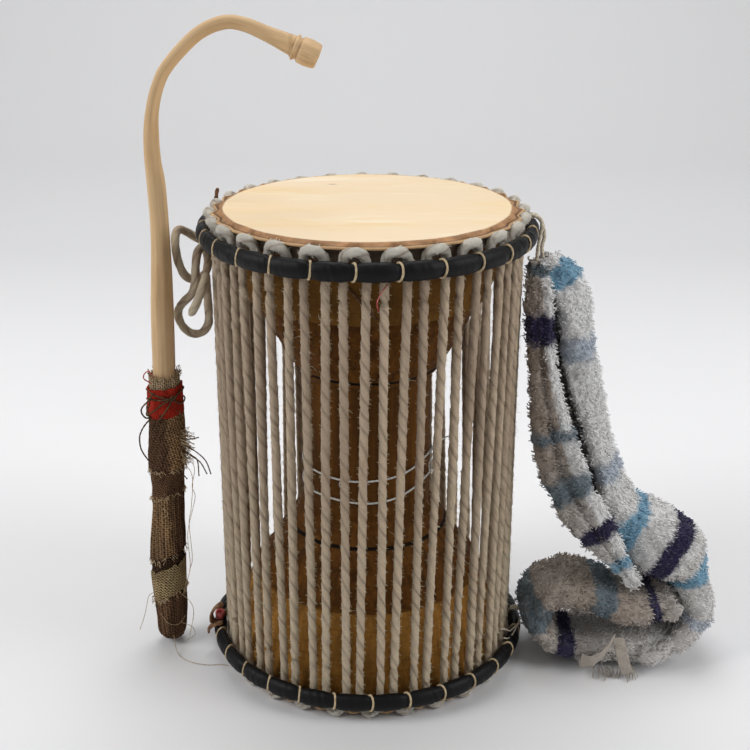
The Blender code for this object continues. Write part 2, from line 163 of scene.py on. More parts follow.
def outward(name, mesh, material):
    """The object of a mesh whose faces are turned outwards and shaded smooth."""
    shape = bmesh.new()
    shape.from_mesh(mesh)
    bmesh.ops.recalc_face_normals(shape, faces=shape.faces)
    shape.to_mesh(mesh)
    shape.free()
    mesh.polygons.foreach_set("use_smooth", [True] * len(mesh.polygons))
    mesh.materials.append(material)
    return new_object(name, mesh)


def join(name, parts):
    """One object of several, which keep their materials and attributes."""
    for part in bpy.context.view_layer.objects:
        part.select_set(part in parts)
    bpy.context.view_layer.objects.active = parts[0]
    bpy.ops.object.join()
    parts[0].name = parts[0].data.name = name
    return parts[0]


def place(piece, slot, *nodes):
    """Sets a finished piece on the drum's body and hides the solids it stands for; the slot for its finish is
    not used.
    """
    if nodes:
        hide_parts(*nodes)
    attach(piece, "root")
    return piece


# Nodes


class Value:
    """A number or colour that a node gives, so that sums on numbers read as plain Python."""

    def __init__(self, tree, socket):
        self.tree, self.socket = tree, socket

    def math(self, operation, *terms):
        return self.tree.node("ShaderNodeMath", {"operation": operation}, dict(enumerate(terms)))

    def __add__(self, other):
        return self.math("ADD", self, other)

    def __sub__(self, other):
        return self.math("SUBTRACT", self, other)

    def __rsub__(self, other):
        return self.math("SUBTRACT", other, self)

    def __mul__(self, other):
        return self.math("MULTIPLY", self, other)

    def __truediv__(self, other):
        return self.math("DIVIDE", self, other)

    def __rtruediv__(self, other):
        return self.math("DIVIDE", other, self)

    def __pow__(self, other):
        return self.math("POWER", self, other)

    __radd__ = __add__
    __rmul__ = __mul__

    def sine(self):
        return self.math("SINE", self)

    def size(self):
        """The number without its sign."""
        return self.math("ABSOLUTE", self)

    def step(self, low, high):
        """0 below low and 1 above high, with a smooth rise between them."""
        return self.tree.node("ShaderNodeMapRange", {"interpolation_type": "SMOOTHSTEP"},
                              {0: self, 1: low, 2: high, 3: 0.0, 4: 1.0})

    def other(self, output):
        """Another output of the node that this one came from."""
        return Value(self.tree, self.socket.node.outputs[output])


class Tree:
    """The nodes of one material or one geometry tree."""

    def __init__(self, nodes):
        self.nodes = nodes

    def node(self, kind, settings=None, inputs=None, out=0):
        made = self.nodes.nodes.new(kind)
        for name, value in (settings or {}).items():
            if name == "stops":
                stops = made.color_ramp.elements
                while len(stops) < len(value):
                    stops.new(1.0)
                for stop, (at, colour) in zip(stops, value):
                    stop.position, stop.color = at, (*colour[:3], 1.0)
            else:
                setattr(made, name, value)
        for name, value in (inputs or {}).items():
            if isinstance(value, Value):
                self.nodes.links.new(value.socket, made.inputs[name])
            elif isinstance(value, (list, tuple)) and made.inputs[name].type == "RGBA":
                made.inputs[name].default_value = (*value[:3], 1.0)
            else:
                made.inputs[name].default_value = value
        return Value(self, made.outputs[out])

    def vector(self, operation, first, second):
        return self.node("ShaderNodeVectorMath", {"operation": operation}, {0: first, 1: second})

    def xyz(self, x=0.0, y=0.0, z=0.0):
        return self.node("ShaderNodeCombineXYZ", {}, {0: x, 1: y, 2: z})

    def scaled(self, vector, share):
        return self.node("ShaderNodeVectorMath", {"operation": "SCALE"}, {0: vector, "Scale": share})

    def drawn(self, low, high, seed, kind="FLOAT"):
        """A random number or vector for each point."""
        first = 0 if kind == "FLOAT_VECTOR" else 2
        return self.node("FunctionNodeRandomValue", {"data_type": kind},
            {first: low, first + 1: high, "Seed": seed})

    def streaks(self, where, stretch, detail=3.0, rough=0.55):
        """Noise on a place that is stretched by three scales."""
        return self.noise(self.vector("MULTIPLY", where, stretch), 1.0, detail, rough)

    def noise(self, where, scale, detail=3.0, rough=0.55):
        return self.node("ShaderNodeTexNoise", {},
                         {"Vector": where, "Scale": scale, "Detail": detail, "Roughness": rough})

    def parts(self, where):
        """The three numbers of a vector."""
        x = self.node("ShaderNodeSeparateXYZ", {}, {0: where})
        return x, x.other("Y"), x.other("Z")


class Paint(Tree):
    """A material on a Principled shader."""

    def __init__(self, name):
        self.material = bpy.data.materials.new(name)
        self.material.use_nodes = True
        super().__init__(self.material.node_tree)
        self.shader = self.nodes.nodes["Principled BSDF"]
        self.where = self.node("ShaderNodeTexCoord", out="Object")

    def attribute(self, name, out="Fac"):
        return self.node("ShaderNodeAttribute", {"attribute_name": name}, out=out)

    def ramp(self, value, *stops):
        return self.node("ShaderNodeValToRGB", {"stops": stops}, {0: value})

    def mix(self, factor, first, second):
        return self.node("ShaderNodeMix", {"data_type": "RGBA"}, {0: factor, 6: first, 7: second}, out=2)

    def finish(self, colour, roughness, height=None, depth=0.001, **fixed):
        """Links what varies, sets what doesn't, and returns the material."""
        links = {"Base Color": colour, "Roughness": roughness}
        if height is not None:
            links["Normal"] = self.node("ShaderNodeBump", {}, {"Distance": depth, "Height": height})
        for name, value in {**links, **{k.replace("_", " "): v for k, v in fixed.items()}}.items():
            if isinstance(value, Value):
                self.nodes.links.new(value.socket, self.shader.inputs[name])
            elif isinstance(value, (list, tuple)):
                self.shader.inputs[name].default_value = (*value[:3], 1.0)
            else:
                self.shader.inputs[name].default_value = value
        return self.material


class Growth(Tree):
    """A geometry tree with named sizes, which grows a plain mesh from what carries it."""

    def __init__(self, name, **sizes):
        self.group = bpy.data.node_groups.new(name, "GeometryNodeTree")
        face = self.group.interface
        face.new_socket("Carrier", in_out="INPUT", socket_type="NodeSocketGeometry")
        for label, value in sizes.items():
            kind = {int: "NodeSocketInt", float: "NodeSocketFloat"}.get(type(value), "NodeSocketVector")
            face.new_socket(label.replace("_", " "), in_out="INPUT", socket_type=kind).default_value = value
        face.new_socket("Mesh", in_out="OUTPUT", socket_type="NodeSocketGeometry")
        super().__init__(self.group)
        self.carrier = self.node("NodeGroupInput")

    def given(self, label):
        return self.carrier.other(label)

    def stored(self, geometry, name, value, kind="FLOAT"):
        """The geometry with a named attribute on its points."""
        return self.node("GeometryNodeStoreNamedAttribute", {"data_type": kind, "domain": "POINT"},
                         {0: geometry, "Name": name, "Value": value})

    def end(self, grown, material):
        real = self.node("GeometryNodeRealizeInstances", {}, {0: grown})
        smooth = self.node("GeometryNodeSetShadeSmooth", {}, {0: real})
        dressed = self.node("GeometryNodeSetMaterial", {}, {0: smooth, "Material": material})
        last = self.nodes.nodes.new("NodeGroupOutput")
        self.nodes.links.new(dressed.socket, last.inputs[0])

    def grow(self, name, data, **sizes):
        """The plain mesh object that the tree makes on a mesh or a curve."""
        carrier = new_object(name + "_carrier", data)
        modifier = carrier.modifiers.new("Growth", "NODES")
        modifier.node_group = self.group
        for item in self.group.interface.items_tree:
            if item.in_out == "INPUT" and item.name in sizes:
                modifier[item.identifier] = sizes[item.name]
        mesh = settled(carrier)
        bpy.data.objects.remove(carrier)
        mesh.name = name
        paint = mesh.materials[-1]
        mesh.materials.clear()
        mesh.materials.append(paint)
        mesh.polygons.foreach_set("material_index", [0] * len(mesh.polygons))
        return new_object(name, mesh)


def fleck_paint(name, scale, light, dark, depth, detail=3.0, rough=0.9, band=(0.3, 0.7), **fixed):
    """A plain material in two shades."""
    paint = Paint(name)
    fleck = paint.noise(paint.where, scale, detail)
    return paint.finish(paint.mix(fleck.step(*band), light, dark), rough, fleck, depth, **fixed)


def lines_curve(name, routes):
    """Curve data of straight-sided lines; a route is (points, thickness in metres at each)."""
    curve = bpy.data.curves.new(name, "CURVE")
    curve.dimensions = "3D"
    for points, thickness in routes:
        spline = curve.splines.new("POLY")
        spline.points.add(len(points) - 1)
        spline.points.foreach_set("co", [c for p in points for c in (*p, 1.0)])
        spline.points.foreach_set("radius", [t / 2 for t in thickness])
    return curve


def cord_growth(name, material, sides, lobes, depth):
    """The tree that lays a twisted cord along each line. Its section has lobes with sharp creases between
    them, and the attribute lay follows the twist, with the length along the cord in its third number."""
    tree = Growth(name, Turn_length=0.024, Unevenness=0.0, Lumps=0.0002, Lump_size=0.006)
    length = tree.node("GeometryNodeSplineParameter", out="Length")
    uneven = (tree.noise(tree.node("GeometryNodeInputPosition"), 14.0, 2.0) - 0.5) * tree.given("Unevenness")
    line = tree.node("GeometryNodeSetCurveTilt", {},
                     {0: tree.carrier, "Tilt": length * TAU / tree.given("Turn length") + uneven})
    line = tree.stored(line, "along", length)
    ring = tree.node("GeometryNodeCurvePrimitiveCircle", {}, {"Resolution": sides, "Radius": 1.0})
    turn = tree.node("GeometryNodeSplineParameter", out="Factor") * TAU
    crease = (1.0 - (turn * (lobes * 0.5)).sine().size()) ** 2.5
    x, y, _ = tree.parts(tree.node("GeometryNodeInputPosition"))
    share = 1.0 - crease * depth
    ring = tree.stored(ring, "around", tree.xyz(x, y, crease), "FLOAT_VECTOR")
    ring = tree.node("GeometryNodeSetPosition", {}, {0: ring, "Position": tree.xyz(x * share, y * share)})
    radius = tree.node("GeometryNodeInputRadius")
    tube = tree.node("GeometryNodeCurveToMesh", {},
                     {0: line, 1: ring, "Scale": radius, "Fill Caps": True})
    lump = tree.noise(tree.node("GeometryNodeInputPosition"), 1.0 / tree.given("Lump size"), 2.0) - 0.5
    out = tree.scaled(tree.node("GeometryNodeInputNormal"), lump * tree.given("Lumps") * 4.0)
    tree.end(tree.node("GeometryNodeSetPosition", {}, {0: tube, "Offset": out}), material)
    return tree


def fibre_growth(name, material, segments=3, taper=0.6):
    """The tree that sows short bent fibres over a surface, between lying flat and standing up. The attribute
    tip runs from 0 at a fibre's root to 1 at its tip, and shade is a number of its own for each fibre."""
    tree = Growth(name, Density=1000.0, Length=0.003, Thickness=0.0002, Stand=0.5, Bend=0.5,
                  Hang=0.0, Locks=5.0, Seed=1)
    sown = tree.node("GeometryNodeDistributePointsOnFaces", {},
                     {0: tree.carrier, "Density": tree.given("Density"), "Seed": tree.given("Seed")})
    bend = tree.given("Bend")
    line = tree.node("GeometryNodeCurveQuadraticBezier", {}, {
        "Resolution": segments, "Start": (0.0, 0.0, -0.12), "Middle": (0.0, 0.0, 0.6),
        "End": tree.xyz(bend, 0.0, 1.0 - bend * 0.35)})
    run = tree.node("GeometryNodeSplineParameter")
    line = tree.stored(line, "tip", run)
    ring = tree.node("GeometryNodeCurvePrimitiveCircle", {},
                     {"Resolution": 3, "Radius": tree.given("Thickness") / tree.given("Length") * 0.5})
    fibre = tree.node("GeometryNodeCurveToMesh", {},
                      {0: line, 1: ring, "Scale": 1.0 - run * taper, "Fill Caps": segments > 2})
    chance = tree.drawn((-1.0, -1.0, -1.0), (1.0, 1.0, 1.0), tree.given("Seed"), "FLOAT_VECTOR")
    stand = tree.scaled(sown.other("Normal"), tree.given("Stand") * 2.0)
    lock = tree.noise(tree.node("GeometryNodeInputPosition"), 240.0, 2.0).other("Color")
    lock = tree.vector("SUBTRACT", lock, (0.5, 0.5, 0.5))
    lock = tree.scaled(lock, tree.given("Locks"))
    down = tree.xyz(z=tree.given("Hang") * -1.0)
    aim = tree.vector("ADD", tree.vector("ADD", tree.vector("ADD", chance, stand), down), lock)
    turn = tree.node("FunctionNodeAlignRotationToVector", {"axis": "Z"}, {"Vector": aim})
    spin = tree.drawn(0.0, TAU, 7)
    turn = tree.node("FunctionNodeRotateRotation", {"rotation_space": "LOCAL"}, {
        0: turn, 1: tree.node("FunctionNodeAxisAngleToRotation", {}, {0: (0.0, 0.0, 1.0), 1: spin})})
    size, shade = tree.drawn(0.6, 1.25, 11), tree.drawn(0.0, 1.0, 13)
    grown = tree.node("GeometryNodeInstanceOnPoints", {}, {
        0: tree.stored(sown, "shade", shade), "Instance": fibre, "Rotation": turn,
        "Scale": size * tree.given("Length")})
    grown = tree.node("GeometryNodeRealizeInstances", {}, {0: grown})
    x, y, z = tree.parts(tree.node("GeometryNodeInputPosition"))
    above = tree.xyz(x, y, z.math("MAXIMUM", z, FLOOR_GAP))
    tree.end(tree.node("GeometryNodeSetPosition", {}, {0: grown, "Position": above}), material)
    return tree


# The sizes and colours a user would change


class DrumSizes(bpy.types.PropertyGroup):
    """The drum's main sizes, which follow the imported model."""
    height: FloatProperty(name="Height", description="From the floor to the playing face",
                          default=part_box("upper_head")[1][2], unit="LENGTH")
    hoop_radius: FloatProperty(name="Hoop radius",
        description="From the drum's middle to the middle of a hoop", default=0.1017, unit="LENGTH")
    cord: FloatProperty(name="Lacing cord", description="Thickness of the twisted cloth cord",
                        default=0.0055, unit="LENGTH")
    loops: IntProperty(name="Loops", description="Loops of the lacing over each hoop", default=27)
    turn_length: FloatProperty(name="Twist", description="Length of one turn of the twisted cord",
                               default=0.023, unit="LENGTH")


def tint(name, description, default):
    return FloatVectorProperty(name=name, description=description, default=default, subtype="COLOR")


class DrumColours(bpy.types.PropertyGroup):
    """The colours of the drum, its beater and its strap."""
    bowl: tint("Bowl wood", "Carved wood of the two bowls", (0.34, 0.16, 0.032))
    flare: tint("Flare wood", "Darker wood below the bowls' steps", (0.115, 0.044, 0.007))
    waist: tint("Waist wood", "Orange wood of the waist", (0.130, 0.050, 0.008))
    skin: tint("Skin", "Playing face", (0.80, 0.64, 0.44))
    rim: tint("Skin at the rim", "Brown ring at the skin's edge", (0.36, 0.19, 0.085))
    hoop: tint("Hoop", "Black padding of the hoops", (0.0024, 0.0022, 0.0026))
    cord: tint("Cord", "Twisted cloth of the lacing", (0.87, 0.65, 0.455))
    clean_cord: tint("Clean cord", "Whiter cloth of the loops", (1.0, 0.94, 0.82))
    thread: tint("Thread", "White threads", (0.95, 0.93, 0.88))
    stick: tint("Beater", "Peeled wood of the beater", (0.57, 0.385, 0.205))
    grip: tint("Grip cloth", "Dark cloth round the grip", (0.075, 0.04, 0.022))
    burlap: tint("Burlap", "Coarse cloth round the grip", (0.30, 0.18, 0.09))
    red: tint("Red cloth", "Band at the top of the grip", (0.60, 0.040, 0.022))
    towel: tint("Towel", "Worn terry cloth", (0.97, 0.96, 0.945))
    pale_stripe: tint("Pale stripe", "Light blue stripes of the towel", (0.22, 0.45, 0.62))
    dark_stripe: tint("Dark stripe", "Navy stripes of the towel", (0.022, 0.018, 0.075))


def sizes():
    return bpy.context.scene.drum_sizes


def colours():
    return bpy.context.scene.drum_colours


def colour(name, share=1.0):
    """A named colour, made lighter or darker by a share."""
    return tuple(min(1.0, c * share) for c in getattr(colours(), name))


# The places that pieces share

GAP = 0.0003
SKIN = 0.0012

UPPER_PHASE, LOWER_PHASE = math.radians(-4.3), math.radians(1.0)
UPPER_SPREAD, LOWER_SPREAD = 0.058, -0.0245
LOOP_HALF_ANGLE = math.radians(4.0)
LOOP_RISE, HOOP_DROP = 0.0035, 0.0139
HOOP_WIDTH, HOOP_HEIGHT = 0.0086, 0.0118
STRAND_RADIUS = 0.09425


def hoop_level(side):
    """The middle of a hoop: side is 1 for the upper one and -1 for the lower."""
    return sizes().height - HOOP_DROP if side > 0 else HOOP_DROP


def loop_angles(side):
    """Where the lacing's loops cross a hoop, from the front to the right."""
    phase, spread = (UPPER_PHASE, UPPER_SPREAD) if side > 0 else (LOWER_PHASE, LOWER_SPREAD)
    count = sizes().loops
    turns = [phase + TAU * i / count for i in range(count)]
    return [turn + spread * (math.sin(turn) - math.sin(phase)) for turn in turns]


# The stage, and the cord that hangs free


LENS_MM, CAMERA_AT, CAMERA_DOWN = 62.5, (0.0, -0.788, 0.4933), 20.79
SKY = 0.29
# each lamp's place, width and power
LAMPS = {"left": ((-1.6, -0.55, 1.25), 1.1, 19.5), "right": ((1.6, -0.55, 1.15), 1.1, 16.0),
         "top": ((0.0, 0.8, 2.5), 1.6, 29.0)}
# the paper's grey at places from the front to the back, with painted light and shade: lighter and darker where
# the lamps would light it more or less
PAPER_GREY_AND_PAINTED_LIGHT = ((-0.3, 0.70), (0.0, 0.76), (0.3, 0.82), (0.6, 0.80), (1.0, 0.74), (1.5, 0.80), (2.7, 0.93))


class DRUM_OT_stage(bpy.types.Operator):
    """Builds the pale floor and backdrop, the soft light and the camera"""
    bl_idname = "drum.stage"
    bl_label = "Stage"

    def execute(self, context):
        scene = context.scene
        bend, floor_end, wall_top, half = 1.1, 1.6, 5.0, 6.0
        outline = [(-4.0, 0.0), (floor_end, 0.0)]
        outline += [(floor_end + bend * math.sin(a), bend - bend * math.cos(a))
                    for a in np.linspace(0, math.pi / 2, 24)[1:]]
        outline.append((floor_end + bend, wall_top))
        corners = [(x, y, z) for y, z in outline for x in (-half, half)]
        mesh = bpy.data.meshes.new("backdrop")
        mesh.from_pydata(corners, [], [(2 * i, 2 * i + 1, 2 * i + 3, 2 * i + 2)
                                       for i in range(len(outline) - 1)])
        mesh.polygons.foreach_set("use_smooth", [True] * len(mesh.polygons))
        paper = Paint("backdrop_paper")
        _, y, _ = paper.parts(paper.where)
        # painted light and shade on the paper, lighter and darker from the front to the back
        shade = paper.ramp((y + 1.0) / 4.0, *[((at + 1.0) / 4.0, (grey, grey, grey * 1.012))
                                              for at, grey in PAPER_GREY_AND_PAINTED_LIGHT])
        mesh.materials.append(paper.finish(shade, 0.9, Specular_IOR_Level=0.1))
        new_object("backdrop", mesh)

        scene.world = scene.world or bpy.data.worlds.new("studio")
        scene.world.use_nodes = True
        sky = scene.world.node_tree.nodes["Background"]
        sky.inputs["Color"].default_value = (1.0, 1.0, 1.0, 1.0)
        sky.inputs["Strength"].default_value = SKY
        for name, (at, width, power) in LAMPS.items():
            lamp = bpy.data.lights.new(name, "AREA")
            lamp.shape, lamp.size, lamp.energy = "DISK", width, power
            stand = new_object(name, lamp)
            stand.location = at
            stand.rotation_euler = (Vector((0, 0, 0.18)) - Vector(at)).to_track_quat("-Z", "Y").to_euler()

        lens = bpy.data.cameras.new("camera")
        lens.lens, lens.sensor_width, lens.shift_x = LENS_MM, 36.0, 0.0101
        camera = new_object("camera", lens)
        camera.location = CAMERA_AT
        camera.rotation_euler = (math.radians(90 - CAMERA_DOWN), 0.0, 0.0)
        scene.camera = camera
        scene.view_settings.view_transform = "Standard"
        return {"FINISHED"}


def cloth_cord_paint(name, dull, clean, clean_above, clean_below):
    """Twisted cotton cloth: greyer on the strands and cleaner at the two heights given, with painted shade in
    the creases between its lobes.
    """
    paint = Paint(name)
    x, y, crease = paint.parts(paint.attribute("around", "Vector"))
    along = paint.attribute("along")
    lay = paint.xyz(x * 0.9, y * 0.9, along * 60.0)
    _, _, z = paint.parts(paint.where)
    lumps = paint.noise(paint.where, 60.0)
    white = z.step(clean_above, clean_above + 0.006) + (1.0 - z.step(clean_below, clean_below + 0.006))
    strands = paint.streaks(paint.where, (75.0, 75.0, 2.0), 2.0, 0.5)
    tone = paint.mix(strands.step(0.36, 0.62), tuple(c * 0.84 for c in dull),
        tuple(min(1.0, c * 1.2) for c in dull))
    tone = paint.mix(1.0 - z.step(0.05, 0.20), tone, tuple(min(1.0, c * 1.25) for c in dull))
    tone = paint.mix(white, tone, clean)
    patches = paint.noise(lay, 1.3, 4.0, 0.6)
    tone = paint.mix(patches.step(0.40, 0.66) * (1.0 - white * 0.75) * 0.35, tone,
                     tuple(c * s for c, s in zip(dull, (0.62, 0.58, 0.52))))
    dirt = paint.noise(paint.where, 24.0, 5.0, 0.7).step(0.56, 0.75) * (1.0 - white * 0.7)
    tone = paint.mix(dirt * 0.45, tone, tuple(c * s for c, s in zip(dull, (0.70, 0.52, 0.36))))
    # painted shade: the creases between the cord's lobes are darkened, in patches
    depth = paint.noise(paint.where, 38.0, 3.0, 0.6).step(0.30, 0.60)
    tone = paint.mix(crease * depth * 0.75, tone, tuple(c * s for c, s in zip(dull, (0.36, 0.29, 0.22))))
    weave = paint.xyz(x * 3.0, y * 3.0, along * 640.0)
    thread = paint.noise(weave, 2.2, 3.0, 0.7)
    slub = paint.noise(lay, 6.0, 4.0, 0.7)
    tone = paint.mix(slub.step(0.52, 0.70) * 0.45, tone, clean)
    speck = paint.noise(weave, 5.0, 2.0, 0.6)
    tone = paint.mix(thread.step(0.42, 0.70) * (1.0 - white * 0.5) * 0.38, tone,
        tuple(c * 0.45 for c in dull))
    tone = paint.mix(speck.step(0.62, 0.72) * (1.0 - white * 0.6) * 0.55, tone, tuple(c * 0.22 for c in dull))
    relief = thread * 0.8 + slub * 0.9 + lumps * 0.2
    return paint.finish(tone, 0.92, relief, 0.0026, Sheen_Weight=0.2, Specular_IOR_Level=0.08)


SPARE_CORD = 0.0057
SPARE_ROUTE = [
    (-0.0998, 0.0170, 0.2795), (-0.1045, 0.0225, 0.2775), (-0.1100, 0.0252, 0.2790),
    (-0.1155, 0.0238, 0.2830), (-0.1195, 0.0175, 0.2862), (-0.1210, 0.0100, 0.2845),
    (-0.1203, 0.0040, 0.2770), (-0.1185, 0.0025, 0.2680), (-0.1152, 0.0045, 0.2597),
    (-0.1095, 0.0103, 0.2552), (-0.1040, 0.0155, 0.2580), (-0.1020, 0.0170, 0.2655),
    (-0.1028, 0.0135, 0.2735), (-0.1048, 0.0058, 0.2776), (-0.1066, -0.0018, 0.2743),
    (-0.1072, -0.0055, 0.2665), (-0.1078, -0.0060, 0.2580), (-0.1108, -0.0035, 0.2500),
    (-0.1165, 0.0010, 0.2435), (-0.1210, 0.0055, 0.2360), (-0.1203, 0.0080, 0.2270),
    (-0.1145, 0.0075, 0.2206), (-0.1068, 0.0048, 0.2215), (-0.1017, 0.0010, 0.2285),
    (-0.1005, -0.0032, 0.2380), (-0.1003, -0.0065, 0.2475), (-0.1003, -0.0095, 0.2570),
    (-0.0996, -0.0150, 0.2645), (-0.0992, -0.0225, 0.2657), (-0.1010, -0.0282, 0.2600),
    (-0.1047, -0.0288, 0.2515), (-0.1090, -0.0255, 0.2435),
]


class DRUM_OT_spare_cord(bpy.types.Operator):
    """Hangs the spare end of the lacing in its loops at the left of the upper hoop"""
    bl_idname = "drum.spare_cord"
    bl_label = "Spare cord"

    def execute(self, context):
        paint = cloth_cord_paint("spare_cord_cloth", colour("cord", 1.12), colour("clean_cord"), 0.29, 0.2)
        path = smooth_route(SPARE_ROUTE, 0.0015)
        end = [min(1.0, 0.5 + (len(path) - 1 - i) / 3) for i in range(len(path))]
        tree = cord_growth("Spare cord", paint, 20, 2, 0.14)
        data = lines_curve("spare_cord_line", [(path, [SPARE_CORD * 0.97 * e for e in end])])
        cord = tree.grow("spare_cord_loops", data, **{"Turn length": 0.030, "Unevenness": 6.0})
        place(cord, "cloth_cord", "spare_cord")
        round(length_of(path), 3)
        return {"FINISHED"}


# The carved shell and its two skins


def shell_paint(grooves):
    """Carved wood, paler in the bowls, with its grain, the marks of turning and the burnt grooves, and a
    painted shadow of the upper hoop on the upper bowl.
    """
    wood = Paint("carved_shell_wood")
    _, _, z = wood.parts(wood.where)
    grain = wood.streaks(wood.where, (170.0, 170.0, 9.0), 5.0, 0.65)
    edge = z + (wood.noise(wood.where, 35.0, 3.0) - 0.5) * 0.006
    light = wood.mix(grain.step(0.3, 0.7), colour("bowl", 0.72), colour("bowl", 1.25))
    # painted shadow: the upper bowl is darkened where the upper hoop shades it
    light = wood.mix(z.step(0.15, 0.27) * 0.55, light, (0.045, 0.018, 0.003))
    dark = wood.mix(grain.step(0.3, 0.7), colour("flare", 0.6), colour("flare", 1.7))
    amber = wood.mix(grain.step(0.3, 0.72), colour("waist", 0.62), colour("waist", 1.4))
    tone = wood.mix(edge.step(0.0895, 0.105), dark, amber)
    tone = wood.mix(edge.step(0.196, 0.212), tone, dark)
    tone = wood.mix((1.0 - z.step(0.0605, 0.0620)) + z.step(0.2520, 0.2532), tone, light)
    for groove, width in zip(grooves, (0.0010, 0.0009)):
        near = (z - groove + (wood.noise(wood.where, 30.0) - 0.5) * 0.0012).size()
        tone = wood.mix(1.0 - near.step(width * 0.7, width * 1.5), tone, (0.010, 0.007, 0.005))
    turned = wood.streaks(wood.where, (9.0, 9.0, 480.0), 4.0, 0.6)
    tone = wood.mix(turned.step(0.5, 0.75) * 0.4, tone, colour("flare", 0.5))
    pores = wood.streaks(wood.where, (900.0, 900.0, 30.0), 2.0)
    tone = wood.mix(pores.step(0.58, 0.72) * 0.35, tone, colour("flare", 0.45))
    return wood.finish(tone, 0.55 + grain * 0.25, grain * 0.5 + turned * 0.7 + pores * 0.25, 0.0012,
                       Specular_IOR_Level=0.12)


class DRUM_OT_shell(bpy.types.Operator):
    """Carves the hourglass shell with its steps, tool marks and burnt grooves"""
    bl_idname = "drum.shell"
    bl_label = "Carved shell"

    def execute(self, context):
        height = sizes().height
        middle, half_waist = height / 2, 0.045
        waist, waist_wall, foot, step, wall = 0.0415, 0.0100, 0.0755, 0.0030, 0.0090
        grooves = (0.2055, 0.0950)
        rows = {}
        for side, bowl in ((1, 0.0525), (-1, 0.0600)):
            rim = height - SKIN - GAP if side > 0 else SKIN + GAP
            foot_level = rim - side * bowl
            waist_end = middle + side * half_waist
            rows[side] = [(rim, 0.0890, 0.0820), (rim - side * 0.014, 0.0889, 0.0820),
                          (foot_level + side * 0.012, 0.0803, 0.068), (foot_level, foot, foot - step - wall),
                          (foot_level - side * 0.0002, foot - step, foot - step - wall)]
            for share in np.linspace(0.96, 0.0, 14):
                radius = waist + (foot - step - waist) * share ** 0.85
                level = waist_end + (foot_level - waist_end) * share
                rows[side].append((level, radius, radius - (waist_wall + (wall - waist_wall) * share)))
        table = sorted({round(z, 6): (z, o, i) for z, o, i in rows[1] + rows[-1]}.values())
        levels = sorted(set(np.round(np.linspace(table[0][0], table[-1][0], 250), 5).tolist()
                            + [round(z, 6) for z, _, _ in table]
                            + [g + d for g in grooves for d in (-0.0009, -0.0004, 0.0004, 0.0009)]))
        draw = random.Random(4)
        marks = np.cumsum([draw.uniform(0.0016, 0.0042) for _ in range(140)])
        sides = 168
        outer, inner = [], []
        for z in levels:
            o, i = (float(np.interp(z, [r[0] for r in table], [r[k] for r in table])) for k in (1, 2))
            flare = 0.062 < z < 0.125 or 0.185 < z < 0.253
            chatter = math.sin(TAU * np.searchsorted(marks, z) * 0.37) * (0.00045 if flare else 0.00018)
            if min(abs(z - g) for g in grooves) < 0.0005:
                chatter -= 0.0009
            ring = []
            for k in range(sides):
                turn = TAU * k / sides
                knife = 0.00035 * math.sin(9 * turn + 40 * z) * math.sin(5 * turn - 55 * z + 1.0)
                edge = 0.2 if z in (levels[0], levels[-1]) or abs(o - 0.0890) < 0.0004 else 1.0
                ring.append(round_the_drum(turn, o + (chatter + knife - 0.0003) * edge, z))
            outer.append(ring)
            if z in levels[::5] or z == levels[-1]:
                inner.append([round_the_drum(turn, i + 0.0004 * math.sin(11 * turn + 50 * z), z)
                              for turn in (TAU * k / sides for k in range(sides))])
        paint = shell_paint(grooves)
        shell = rings_mesh("carved_shell", outer + inner[::-1], paint, closed=True)
        place(shell, "shell_wood", "shell")
        return {"FINISHED"}


def skin_paint(name, side, plane):
    """Cream skin, browner at the rim, with its stains, a dark mark on the upper one, and painted shade in the
    groove inside the lip and under it.
    """
    skin = Paint(f"{name}_skin")
    x, y, z = skin.parts(skin.where)
    ring_way = (x * x + y * y) ** 0.5
    stain = skin.streaks(skin.where, (7.0, 26.0, 7.0), 5.0, 0.6)
    cloud = skin.streaks(skin.where, (14.0, 60.0, 14.0), 4.0, 0.6)
    face = skin.mix(stain.step(0.42, 0.72), colour("skin"), (0.80, 0.60, 0.34))
    face = skin.mix(cloud.step(0.5, 0.75) * 0.35, face, (0.92, 0.86, 0.72))
    fine = skin.noise(skin.where, 900.0, 3.0)
    if side > 0:
        mark = ((x + 0.023) * (x + 0.023) + (y - 0.058) * (y - 0.058) * 6.0) ** 0.5
        face = skin.mix(1.0 - mark.step(0.001, 0.0045), face, (0.45, 0.36, 0.22))
    wobble = ring_way + (skin.noise(skin.where, 45.0, 4.0) - 0.5) * 0.0030
    blotch = skin.noise(skin.where, 130.0, 5.0, 0.7)
    rim = skin.mix(blotch.step(0.3, 0.75), colour("rim", 1.3), colour("rim", 0.62))
    tone = skin.mix(wobble.step(0.0882, 0.0895), face, rim)
    groove = skin.attribute("lip")
    # painted shade in the groove inside the lip and under the lip; the tan of the crest is the cut edge's own
    # colour
    tone = skin.mix(groove.step(0.1, 0.5) * (1.0 - groove.step(0.5, 0.9)) * 0.8, tone,
                    colour("rim", 0.30))
    tone = skin.mix(groove.step(0.5, 0.9) * 0.7, tone, (0.56, 0.37, 0.19))
    deep = (z - plane) * -side
    tone = skin.mix(deep.step(0.0030, 0.0042), tone, (0.16, 0.11, 0.075))
    relief = blotch * wobble.step(0.0885, 0.0905) + fine * 0.12 + cloud * 0.3
    return skin.finish(tone, 0.55 + blotch * 0.2, relief, 0.0011, Specular_IOR_Level=0.35)


